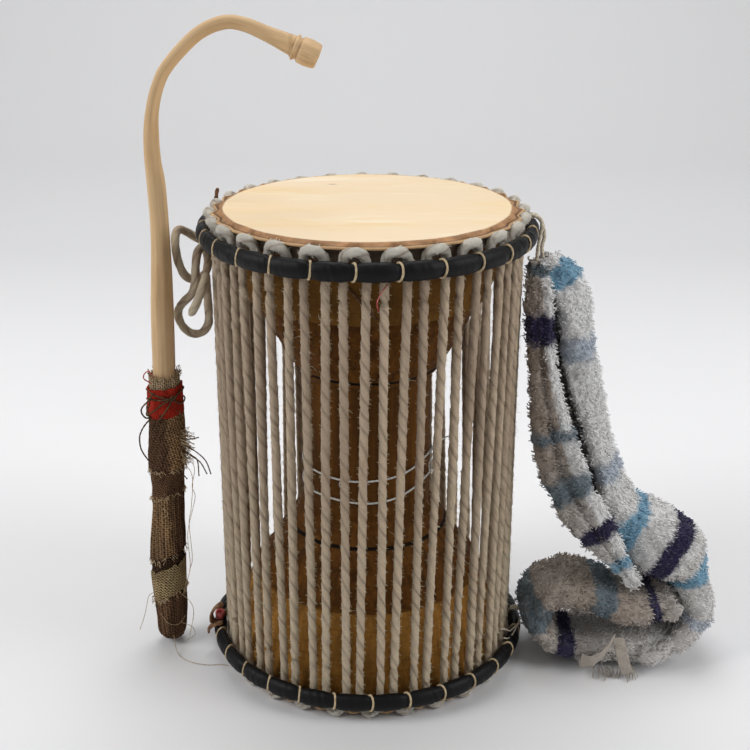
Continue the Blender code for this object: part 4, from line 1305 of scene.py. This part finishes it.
def waist_threads(white):
    """The two threads tied round the waist, with the ends of their knots."""
    waist = 0.0426
    for name, level in (("upper", 0.1380), ("lower", 0.1230)):
        ring = []
        for turn in np.linspace(math.pi, math.pi + TAU, 60):
            rise = 0.0085 * math.exp(-((turn - TAU - WAIST_KNOT_TURN) / 0.55) ** 2)
            ripple = 0.0004 * math.sin(5 * turn + level * 90)
            ring.append(round_the_drum(turn, waist, level + rise + ripple))
        tails = []
        if name == "upper":
            tails = [([round_the_drum(WAIST_KNOT_TURN + a, waist + out, z) for a, out, z in route], 0.0010)
                     for route in (
                         [(0.0, 0.0005, 0.1455), (0.06, 0.0025, 0.1480), (0.12, 0.0020, 0.1445),
                          (0.02, 0.0020, 0.1430), (-0.08, 0.0020, 0.1400), (0.0, 0.0010, 0.1330)],
                         [(0.0, 0.0010, 0.1460), (-0.05, 0.0060, 0.1540), (0.05, 0.0110, 0.1580),
                          (0.16, 0.0120, 0.1560)])]
        else:
            tails = [([round_the_drum(a, waist + out, z) for a, out, z in
                       ((-0.38, 0.0, 0.1385), (-0.42, 0.0012, 0.1350), (-0.36, 0.0018, 0.1325),
                        (-0.27, 0.0012, 0.1330))], 0.0009)]
        thin_cords(f"waist_thread_{name}_cord", white, [(ring, 0.0014), *tails], step=0.0012,
                   turn_length=0.005, slot="white_thread", nodes=(f"waist_thread_{name}",))


def strap_strings():
    """The strings that tie the strap to the two hoops."""
    cream = fleck_paint("strap_string", 800.0, (0.78, 0.71, 0.58), (0.42, 0.35, 0.25), 0.0005,
                        Specular_IOR_Level=0.1)
    top = sizes().height - HOOP_DROP + HOOP_HEIGHT / 2 + 0.0015
    upper = [([(0.0985, y, top - 0.001), (0.1030, y, top), (0.1078, y * 1.2, top - 0.004),
               (0.1086 + out, y * 1.5, 0.2860), (0.1072 + out, y * 2 - 0.003, 0.2790),
               (0.1078 + out * 1.6, -0.004, 0.2680)], 0.0026)
             for y, out in ((-0.0016, -0.0016), (0.0016, 0.0018))]
    thin_cords("strap_tie_upper_strings", cream, upper, turn_length=0.007, sides=12, slot="white_thread",
               nodes=("strap_tie_upper",))
    lower = [([(0.0990, y, 0.0216), (0.1040, y - 0.001, 0.0222), (0.1090, y - 0.005, 0.0214 - drop),
               (0.1150, y - 0.012, 0.0200 - drop)], 0.0013)
             for y, drop in ((-0.002, 0.0), (0.0, 0.003), (0.002, 0.001))]
    lower.append(([(0.0880, -0.0400, 0.0290), (0.0925, -0.0340, 0.0250), (0.0960, -0.0300, 0.0215),
        (0.1010, -0.0240, 0.0220), (0.1080, -0.0200, 0.0230), (0.1150, -0.0160, 0.0210)], 0.0012))
    lower.append(([(0.0905, -0.0390, 0.0215), (0.0950, -0.0350, 0.0190), (0.0990, -0.0290, 0.0205),
                   (0.1040, -0.0200, 0.0250), (0.1100, -0.0150, 0.0235)], 0.0011))
    thin_cords("strap_tie_lower_strings", cream, lower, turn_length=0.006, slot="white_thread",
               nodes=("strap_tie_lower",))


class DRUM_OT_scraps(bpy.types.Operator):
    """Ties the threads round the waist and the strings of the strap, and adds the scraps at the hoops"""
    bl_idname = "drum.scraps"
    bl_label = "Threads and scraps"

    def execute(self, context):
        white = fleck_paint("white_thread", 900.0, colour("thread"), colour("thread", 0.6), 0.0004,
                            Specular_IOR_Level=0.1)
        waist_threads(white)

        strap_strings()

        rag = fleck_paint("pink_rag", 260.0, (0.28, 0.030, 0.030), (0.74, 0.22, 0.20), 0.0012, 4.0,
                          Specular_IOR_Level=0.1)
        leather = fleck_paint("scrap_leather", 500.0, (0.085, 0.032, 0.014), (0.30, 0.17, 0.085), 0.0005, 4.0,
                              rough=0.6, band=(0.3, 0.75), Specular_IOR_Level=0.25)
        centre = round_the_drum(RAG_TURN, sizes().hoop_radius, 0.0230)
        ball = []
        for j in range(15):
            lat = math.pi * (j + 0.3) / 14.6
            ball.append([centre + Vector((0.0037 * math.sin(lat) * math.cos(a) * size, 0.0059 * math.sin(lat)
                                          * math.sin(a) * size, 0.0043 * math.cos(lat) * size))
                         for a in (TAU * k / 30 for k in range(30))
                         for size in (0.86 + 0.14 * math.sin(3 * a + 4 * lat) * math.sin(5 * lat - 2 * a),)])
        place(rings_mesh("pink_rag_knot", ball, rag), "pink_rag", "rag_knot")
        foot = round_the_drum(THONG_TURN, sizes().hoop_radius, sizes().height - HOOP_DROP + 0.0062)
        # a strip: its middle line, half width, its flat way across, and the solid that it stands for
        strips = (
            ("rag_leather_flap", [(-0.1030, -0.0155, 0.0180), (-0.1062, -0.0165, 0.0225),
                                  (-0.1055, -0.0165, 0.0280), (-0.1015, -0.0155, 0.0325),
                                  (-0.0985, -0.0145, 0.0310)], 0.0035, (0.2, 1, 0.1), ()),
            ("rag_leather_strap", [(-0.0985, -0.0185, 0.0210), (-0.1040, -0.0195, 0.0200),
                                   (-0.1080, -0.0185, 0.0165), (-0.1085, -0.0175, 0.0130)],
             0.0022, (0, 1, 0.4), ()),
            ("thong_stub", [foot, foot + Vector((0.0, -0.0005, 0.004)), foot + Vector((0.0012, 0, 0.0112))],
             0.0013, (1, 0.3, 0), ("thong_end",)))
        for name, route, half, way, nodes in strips:
            way, rings = Vector(way).normalized(), []
            line = smooth_route(route, 0.0006)
            for i, p in enumerate(line):
                thick = way_at(line, i).cross(way).normalized()
                narrow = min(1.0, 0.6 + i / 8, 0.6 + (len(line) - i) / 8)
                width = half * (1.0 + 0.12 * math.sin(i * 0.9)) * narrow
                rings.append([p + way * width * math.cos(a) + thick * (0.0006 + half * 0.12) * math.sin(a)
                              for a in (TAU * k / 14 for k in range(14))])
            place(rings_mesh(name, rings, leather), "brown_leather", *nodes)
        thin_cords("bowl_thong", leather, [([(-0.0134, -0.0850, 0.2815), (-0.0042, -0.0850, 0.2709),
                                            (0.0054, -0.0835, 0.2596)], 0.0018)], slot="brown_leather")
        thin_cords("red_hair_thread", rag, [([(0.0114, -0.0985, 0.2851), (0.0078, -0.0990, 0.2805),
                                              (0.0053, -0.0988, 0.2742), (0.0063, -0.0980, 0.2689)], 0.0007)],
                   slot="pink_rag")
        return {"FINISHED"}


# The towel


ROLL_ROWS = [
    # place, x, y, z, half across, half deep, and how far its open edge is turned from the front
    (0, 0.1095, 0.000, 0.2705, 0.0045, 0.0045, -38), (1, 0.1140, 0.001, 0.2656, 0.0098, 0.0085, -38),
    (2, 0.1188, 0.002, 0.2586, 0.0128, 0.0120, -38), (3, 0.1239, 0.003, 0.2473, 0.0146, 0.0145, -38),
    (4, 0.1267, 0.004, 0.2321, 0.0148, 0.0160, -38), (5, 0.1292, 0.004, 0.2132, 0.0136, 0.0160, -38),
    (6, 0.1325, 0.004, 0.1962, 0.0128, 0.0160, -38), (7, 0.1388, 0.004, 0.1752, 0.0122, 0.0160, -38),
    (8, 0.1504, 0.003, 0.1391, 0.0112, 0.0160, -38), (9, 0.1565, 0.002, 0.1240, 0.0112, 0.0165, -38),
    (10, 0.1626, 0.001, 0.1082, 0.0125, 0.0175, -55), (11, 0.1741, -0.001, 0.0904, 0.0165, 0.0190, -80),
    (12, 0.1904, -0.004, 0.0807, 0.0205, 0.0205, -90), (13, 0.2030, -0.006, 0.0727, 0.0205, 0.0220, -90),
    (14, 0.2112, -0.008, 0.0652, 0.0150, 0.0230, -90), (15, 0.2179, -0.010, 0.0552, 0.0100, 0.0240, -90),
    (16, 0.2207, -0.012, 0.0424, 0.0080, 0.0250, -90), (17, 0.2195, -0.014, 0.0300, 0.0060, 0.0255, -90),
    (18, 0.2120, -0.016, 0.0205, 0.0060, 0.0260, -80), (19, 0.2010, -0.017, 0.0150, 0.0055, 0.0260, -50),
    (20, 0.1880, -0.018, 0.0125, 0.0050, 0.0260, -20), (21, 0.1720, -0.018, 0.0115, 0.0045, 0.0265, 0),
    (22, 0.1520, -0.018, 0.0115, 0.0045, 0.0260, 0), (23, 0.1370, -0.018, 0.0120, 0.0050, 0.0250, 20),
    (24, 0.1250, -0.017, 0.0150, 0.0055, 0.0240, 60), (25, 0.1170, -0.016, 0.0225, 0.0060, 0.0235, 100),
    (26, 0.1140, -0.015, 0.0328, 0.0077, 0.0230, 140), (27, 0.1165, -0.014, 0.0428, 0.0082, 0.0235, 165),
    (28, 0.1245, -0.014, 0.0483, 0.0084, 0.0240, 180), (29, 0.1370, -0.014, 0.0488, 0.0084, 0.0245, 180),
    (30, 0.1520, -0.014, 0.0463, 0.0086, 0.0250, 180), (31, 0.1660, -0.015, 0.0413, 0.0086, 0.0255, 180),
    (32, 0.1800, -0.016, 0.0383, 0.0082, 0.0255, 180), (33, 0.1920, -0.016, 0.0393, 0.0077, 0.0250, 180),
    (34, 0.2000, -0.016, 0.0425, 0.0055, 0.0245, 180), (35, 0.2045, -0.016, 0.0470, 0.0035, 0.0240, 180),
]
ROLL_SECTION = [
    (-0.02, -1.00), (-0.20, -0.80), (-0.42, -0.84), (-0.74, -0.80), (-0.98, -0.40), (-1.00, 0.15),
    (-0.80, 0.68), (-0.36, 0.96), (0.18, 1.00), (0.72, 0.78), (1.00, 0.22), (0.98, -0.42), (0.66, -0.90),
    (0.34, -0.92), (0.16, -0.64), (0.12, -0.10), (0.24, 0.30),
]
LOBE_ROWS = [
    (0, 0.1065, -0.002, 0.2715, 0.0040, 0.0035, 0), (1, 0.1060, -0.008, 0.2620, 0.0060, 0.0042, 0),
    (2, 0.1060, -0.015, 0.2495, 0.0065, 0.0045, 0), (3, 0.1070, -0.020, 0.2260, 0.0060, 0.0048, 0),
    (4, 0.1105, -0.023, 0.2000, 0.0075, 0.0050, 4), (5, 0.1165, -0.025, 0.1660, 0.0095, 0.0052, 6),
    (6, 0.1240, -0.026, 0.1390, 0.0112, 0.0052, 8), (7, 0.1340, -0.027, 0.1180, 0.0115, 0.0052, 8),
    (8, 0.1460, -0.027, 0.0995, 0.0095, 0.0050, 6), (9, 0.1600, -0.027, 0.0800, 0.0060, 0.0046, 4),
    (10, 0.1715, -0.027, 0.0645, 0.0040, 0.0040, 0), (11, 0.1785, -0.027, 0.0560, 0.0020, 0.0030, 0),
]
LOBE_SECTION = [
    (0.55, 0.60), (0.10, 0.85), (-0.45, 1.00), (-0.85, 0.70), (-1.00, 0.00), (-0.85, -0.75), (-0.45, -1.00),
    (-0.10, -0.85), (0.35, -1.00), (0.80, -1.15), (1.05, -0.60), (1.05, 0.10), (0.80, 0.55),
]
TOWEL_STRIPES = {
    # the sheet's stripes: first and last place, and kind
    "roll": ((0.9, 2.3, "pale"), (4.45, 5.3, "faded"), (8.2, 9.0, "faded"), (10.5, 11.3, "pale"),
             (12.3, 13.1, "dark"), (14.2, 14.9, "pale"), (16.6, 17.3, "faded"), (22.9, 23.9, "dark"),
             (25.4, 27.2, "steel"), (29.8, 30.8, "steel"), (32.6, 33.2, "dark")),
    "lobe": ((0.2, 0.9, "steel"), (2.35, 3.1, "dark"), (4.95, 5.25, "steel"), (6.2, 6.9, "steel"),
             (8.0, 8.45, "dark"), (9.2, 9.7, "pale")),
}
TOWEL_WALL = 0.0030
PILE_DENSITY = 250000.0


def terry_paint(name, kinds, dirt_and_shade_places, folds, ridge=(2.0, 2.1)):
    """Worn terry: pale tips and darker roots in painted shade, soft stripes, places along it that are dingier
    from dirt and painted shade, places across it that lie in a fold and are darkened there by painted shade,
    and a ridge between two places across it kept clean of that dirt and painted shade."""
    paint = Paint(name)
    along, across = paint.attribute("along"), paint.attribute("across")
    place_on = along + (paint.noise(paint.where, 150.0, 3.0) - 0.5) * 0.5
    fleck = paint.noise(paint.where, 320.0, 3.0, 0.7)
    tone = paint.mix(fleck.step(0.3, 0.7), colour("towel", 0.86), colour("towel", 1.12))
    worn = paint.noise(paint.where, 32.0, 4.0, 0.6)
    # dirt and painted shade: brownish places along the sheet, strongest where it lies in shade, and kept off
    # the clean ridge
    dirt_and_shade = paint.ramp(along / 36.0, *[(at / 36.0, (share,) * 3) for at, share in dirt_and_shade_places])
    clean = across.step(ridge[0], ridge[0] + 0.05) * (1.0 - across.step(ridge[1] - 0.05, ridge[1]))
    tone = paint.mix((dirt_and_shade + (worn - 0.5) * 0.4) * (1.0 - clean), tone, (0.34, 0.25, 0.175))
    shades = {"pale": (0.95, colour("pale_stripe")), "faded": (0.6, (0.36, 0.46, 0.60)),
              "steel": (0.85, (0.13, 0.20, 0.25)), "dark": (1.1, colour("dark_stripe"))}
    for first, last, kind in kinds:
        mask = place_on.step(first - 0.12, first + 0.12) * (1.0 - place_on.step(last - 0.12, last + 0.12))
        tone = paint.mix(mask * (0.65 + fleck * 0.7) * shades[kind][0], tone, shades[kind][1])
    tone = paint.mix(paint.attribute("shade") * 0.16, tone, (0.12, 0.10, 0.09))
    # painted shade deep in the pile: the roots, and the sheet between the tufts, are darker than the tips
    root = paint.mix(0.30, tone, (0.045, 0.036, 0.028))
    tone = paint.mix(paint.attribute("tip").step(0.0, 0.55), root, tone)
    # painted shade in the folds and slits across the sheet, with less of it from place 17 to 19 on
    fold = paint.ramp(across, *[(at, (share,) * 3) for at, share in folds])
    tone = paint.mix(fold * (1.0 - along.step(17.0, 19.0) * 0.8), tone, (0.016, 0.013, 0.011))
    return paint.finish(tone, 0.95, fleck, 0.0010, Sheen_Weight=0.3, Specular_IOR_Level=0.05)


def towel_sheet(name, rows, section, material, seed):
    """A sheet of towelling folded to a section along a line, and the ground that its pile grows on."""
    spots = np.linspace(0, rows[-1][0], len(rows) * 9)
    table = [between(rows, s) for s in spots]
    line = [Vector(row[:3]) for row in table]
    width = np.linspace(0, len(section) - 1, 68)
    outline = [between([(i, *p) for i, p in enumerate(section)], w) for w in width]
    draw = random.Random(seed)
    ripples = [(draw.uniform(1.5, 8), draw.uniform(0.5, 2.6), draw.uniform(0, TAU), draw.uniform(0.4, 1))
               for _ in range(9)]
    grid = []
    for i, (at, row) in enumerate(zip(spots, table)):
        way = way_at(line, i)
        right = Vector((-way.z, 0.0, way.x))
        _, _, _, half_across, half_deep, fold = row
        turn = math.radians(fold)
        for w, (a, d) in zip(width, outline):
            swell = 1.0 + 0.05 * sum(p * math.sin(n * w / len(section) * TAU + m * at + q)
                                     for n, m, q, p in ripples)
            a, d = (a * math.cos(turn) - d * math.sin(turn)) * swell, (
                a * math.sin(turn) + d * math.cos(turn)) * swell
            spot = line[i] + right * a * half_across + Vector((0, 1, 0)) * d * half_deep
            spot.z = max(spot.z, 0.0045)
            grid.append(spot)
    columns = len(width)
    mesh = bpy.data.meshes.new(name)
    mesh.from_pydata(grid, [], [(i * columns + k, i * columns + k + 1, (i + 1) * columns + k + 1,
                                 (i + 1) * columns + k) for i in range(len(spots) - 1)
                                for k in range(columns - 1)])
    shares = np.linspace(0, 1, columns)
    for label, values in (("along", np.repeat(spots, columns)), ("across", np.tile(shares, len(spots)))):
        mesh.attributes.new(label, "FLOAT", "POINT").data.foreach_set("value", values)
    area = sum(f.area for f in mesh.polygons)
    mesh.polygons.foreach_set("use_smooth", [True] * len(mesh.polygons))
    mesh.materials.append(material)
    cloth = new_object(name, mesh)
    wall = cloth.modifiers.new("Wall", "SOLIDIFY")
    wall.thickness, wall.offset = TOWEL_WALL, 0.0
    thick = settled(cloth)
    moved = [v.co + v.normal * 0.0026 * noise.noise(v.co * 170.0) for v in thick.vertices]
    thick.vertices.foreach_set("co", [c for spot in moved for c in spot])
    cloth.data = thick
    place(cloth, "towelling", "towel_strap")
    length = length_of(line)

    ground = bmesh.new()
    ground.from_mesh(thick)
    ground.normal_update()
    run, breadth = (ground.verts.layers.float.get(label) for label in ("along", "across"))
    inside = []
    for face in ground.faces:
        at = sum(v[run] for v in face.verts) / len(face.verts)
        side = sum(v[breadth] for v in face.verts) / len(face.verts)
        middle = face.calc_center_median()
        outwards = (middle - Vector(between(rows, at)[:3])).dot(face.normal) > 0
        if (not outwards and 0.06 < side < 0.90) or middle.z < 0.0035:
            inside.append(face)
    bmesh.ops.delete(ground, geom=inside, context="FACES")
    return cloth, ground, (round(area / length, 3), round(length, 3))


def towel_pile(name, ground, first, last, tree):
    """The pile of one stretch of a sheet."""
    part = ground.copy()
    run = part.verts.layers.float.get("along")
    gone = [f for f in part.faces if not first <= f.verts[0][run] < last]
    bmesh.ops.delete(part, geom=gone, context="FACES")
    data = bpy.data.meshes.new(name)
    part.to_mesh(data)
    part.free()
    pile = tree.grow(name, data, Density=PILE_DENSITY, Length=0.0050, Thickness=0.0020, Stand=0.45, Bend=0.9,
                     Hang=0.30, Locks=6.0, Seed=3)
    return place(pile, "towelling")


def towel_hems():
    """The flat woven hems that show at the strap's foot, and their fringe."""
    weave = Paint("towel_flat_hem")
    ribs = weave.streaks(weave.where, (900.0, 900.0, 2400.0), 2.0)
    hem_paint = weave.finish(weave.mix(ribs.step(0.3, 0.7), (0.34, 0.295, 0.25), (0.47, 0.42, 0.365)),
        0.9, ribs, 0.0005, Sheen_Weight=0.15)
    hems = []
    for label, route, way, half in (
            ("fold", [(0.1405, -0.0500, 0.0110), (0.1470, -0.0530, 0.0125), (0.1545, -0.0525, 0.0175),
                      (0.1620, -0.0480, 0.0260)], (0.15, -0.2, 1.0), 0.0052),
            ("end", [(0.1650, -0.0470, 0.0265), (0.1672, -0.0505, 0.0185), (0.1695, -0.0530, 0.0100),
                     (0.1720, -0.0545, 0.0035)], (1.0, -0.15, 0.1), 0.0040)):
        way = Vector(way).normalized()
        rings = []
        for k, p in enumerate(smooth_route(route, 0.0010)):
            wave = 0.0006 * math.sin(k * 0.8)
            rings.append([p + way * half * t + Vector((0, off + wave * t, 0)) for t, off in
                          [(t, -0.0005) for t in np.linspace(-1, 1, 9)]
                          + [(t, 0.0005) for t in np.linspace(1, -1, 9)]])
        hems.append(place(rings_mesh(f"towel_hem_{label}", rings, hem_paint), "towelling"))
    draw = random.Random(5)
    fringe = []
    for _ in range(46):
        x = draw.uniform(0.150, 0.176)
        start = Vector((x, draw.uniform(-0.050, -0.046), 0.0050))
        end = start + Vector((draw.uniform(-0.003, 0.003), draw.uniform(-0.010, -0.004), -0.0044))
        fringe.append(([start, (start + end) / 2 + Vector((0.0006, 0, 0.0006)), end], 0.0005))
    hems.append(thin_cords("towel_fringe", hem_paint, fringe, step=0.0015, sides=5, slot="towelling"))
    return hems


class DRUM_OT_towel(bpy.types.Operator):
    """Hangs the towel strap in its folds, from the upper hoop to the floor and back to the lower hoop"""
    bl_idname = "drum.towel"
    bl_label = "Towel"

    def execute(self, context):
        # the roll's stripes, its dirt and painted shade along it, and its painted shade in the folds across it
        terry = terry_paint("worn_terry", TOWEL_STRIPES["roll"], ((0, 0.02), (9, 0.04), (12.5, 0.08),
            (14, 0.22), (20, 0.25), (25, 0.62), (31, 0.82), (35, 0.45)),
            ((0.0, 0.9), (0.06, 0.35), (0.11, 0.0), (0.77, 0.0), (0.84, 0.5), (0.9, 0.9), (1.0, 1.0)))
        tree = fibre_growth("Terry pile", terry, segments=3, taper=0.3)
        roll, ground, flat = towel_sheet("towel_strap_roll", ROLL_ROWS, ROLL_SECTION, terry, 8)
        pieces = [towel_pile(f"towel_pile_{label}", ground, first, last, tree)
                  for label, first, last in (("upper", -1, 6.0), ("middle", 6.0, 12.0), ("outer", 12.0, 18.0),
                                             ("lower", 18.0, 25.0), ("fold", 25.0, 37.0))]
        ground.free()
        hems = towel_hems()
        pieces + hems

        # the lobe's stripes, its dirt and painted shade along it, and its painted shade in the folds across it
        terry = terry_paint("worn_terry_lobe", TOWEL_STRIPES["lobe"],
            ((0, 0.65), (3, 0.85), (6, 0.75), (8, 0.40), (11, 0.08)), ((0.0, 0.2), (0.06, 0.0), (0.52, 0.0),
            (0.59, 0.5), (0.66, 0.0), (0.88, 0.0), (0.94, 0.8), (1.0, 0.9)), ridge=(0.66, 0.92))
        tree = fibre_growth("Terry lobe pile", terry, segments=3, taper=0.3)
        lobe, ground, flat = towel_sheet("towel_strap_lobe", LOBE_ROWS, LOBE_SECTION, terry, 6)
        pile = towel_pile("towel_pile_lobe", ground, -1, 12, tree)
        ground.free()
        return {"FINISHED"}


# The panel, and the run


class DRUM_PT_panel(bpy.types.Panel):
    """Lists the drum's sizes, colours and steps"""
    bl_idname = "DRUM_PT_panel"
    bl_label = "Talking drum"
    bl_space_type = "VIEW_3D"
    bl_region_type = "UI"
    bl_category = "Drum"

    def draw(self, context):
        for group in (context.scene.drum_sizes, context.scene.drum_colours):
            box = self.layout.box()
            for name in group.__annotations__:
                box.prop(group, name)
        for step in STEPS:
            self.layout.operator(step.bl_idname)


STEPS = (DRUM_OT_stage, DRUM_OT_spare_cord, DRUM_OT_shell, DRUM_OT_heads, DRUM_OT_hoops, DRUM_OT_lacing,
         DRUM_OT_beater, DRUM_OT_grip, DRUM_OT_scraps, DRUM_OT_towel)
CLASSES = (DrumSizes, DrumColours, *STEPS, DRUM_PT_panel)


def register():
    for item in CLASSES:
        bpy.utils.register_class(item)
    bpy.types.Scene.drum_sizes = PointerProperty(type=DrumSizes)
    bpy.types.Scene.drum_colours = PointerProperty(type=DrumColours)


def unregister():
    del bpy.types.Scene.drum_colours
    del bpy.types.Scene.drum_sizes
    for item in reversed(CLASSES):
        bpy.utils.unregister_class(item)


def main():
    register()
    for step in STEPS:
        group, name = step.bl_idname.split(".")
        getattr(getattr(bpy.ops, group), name)()


if __name__ == "__main__":
    main()
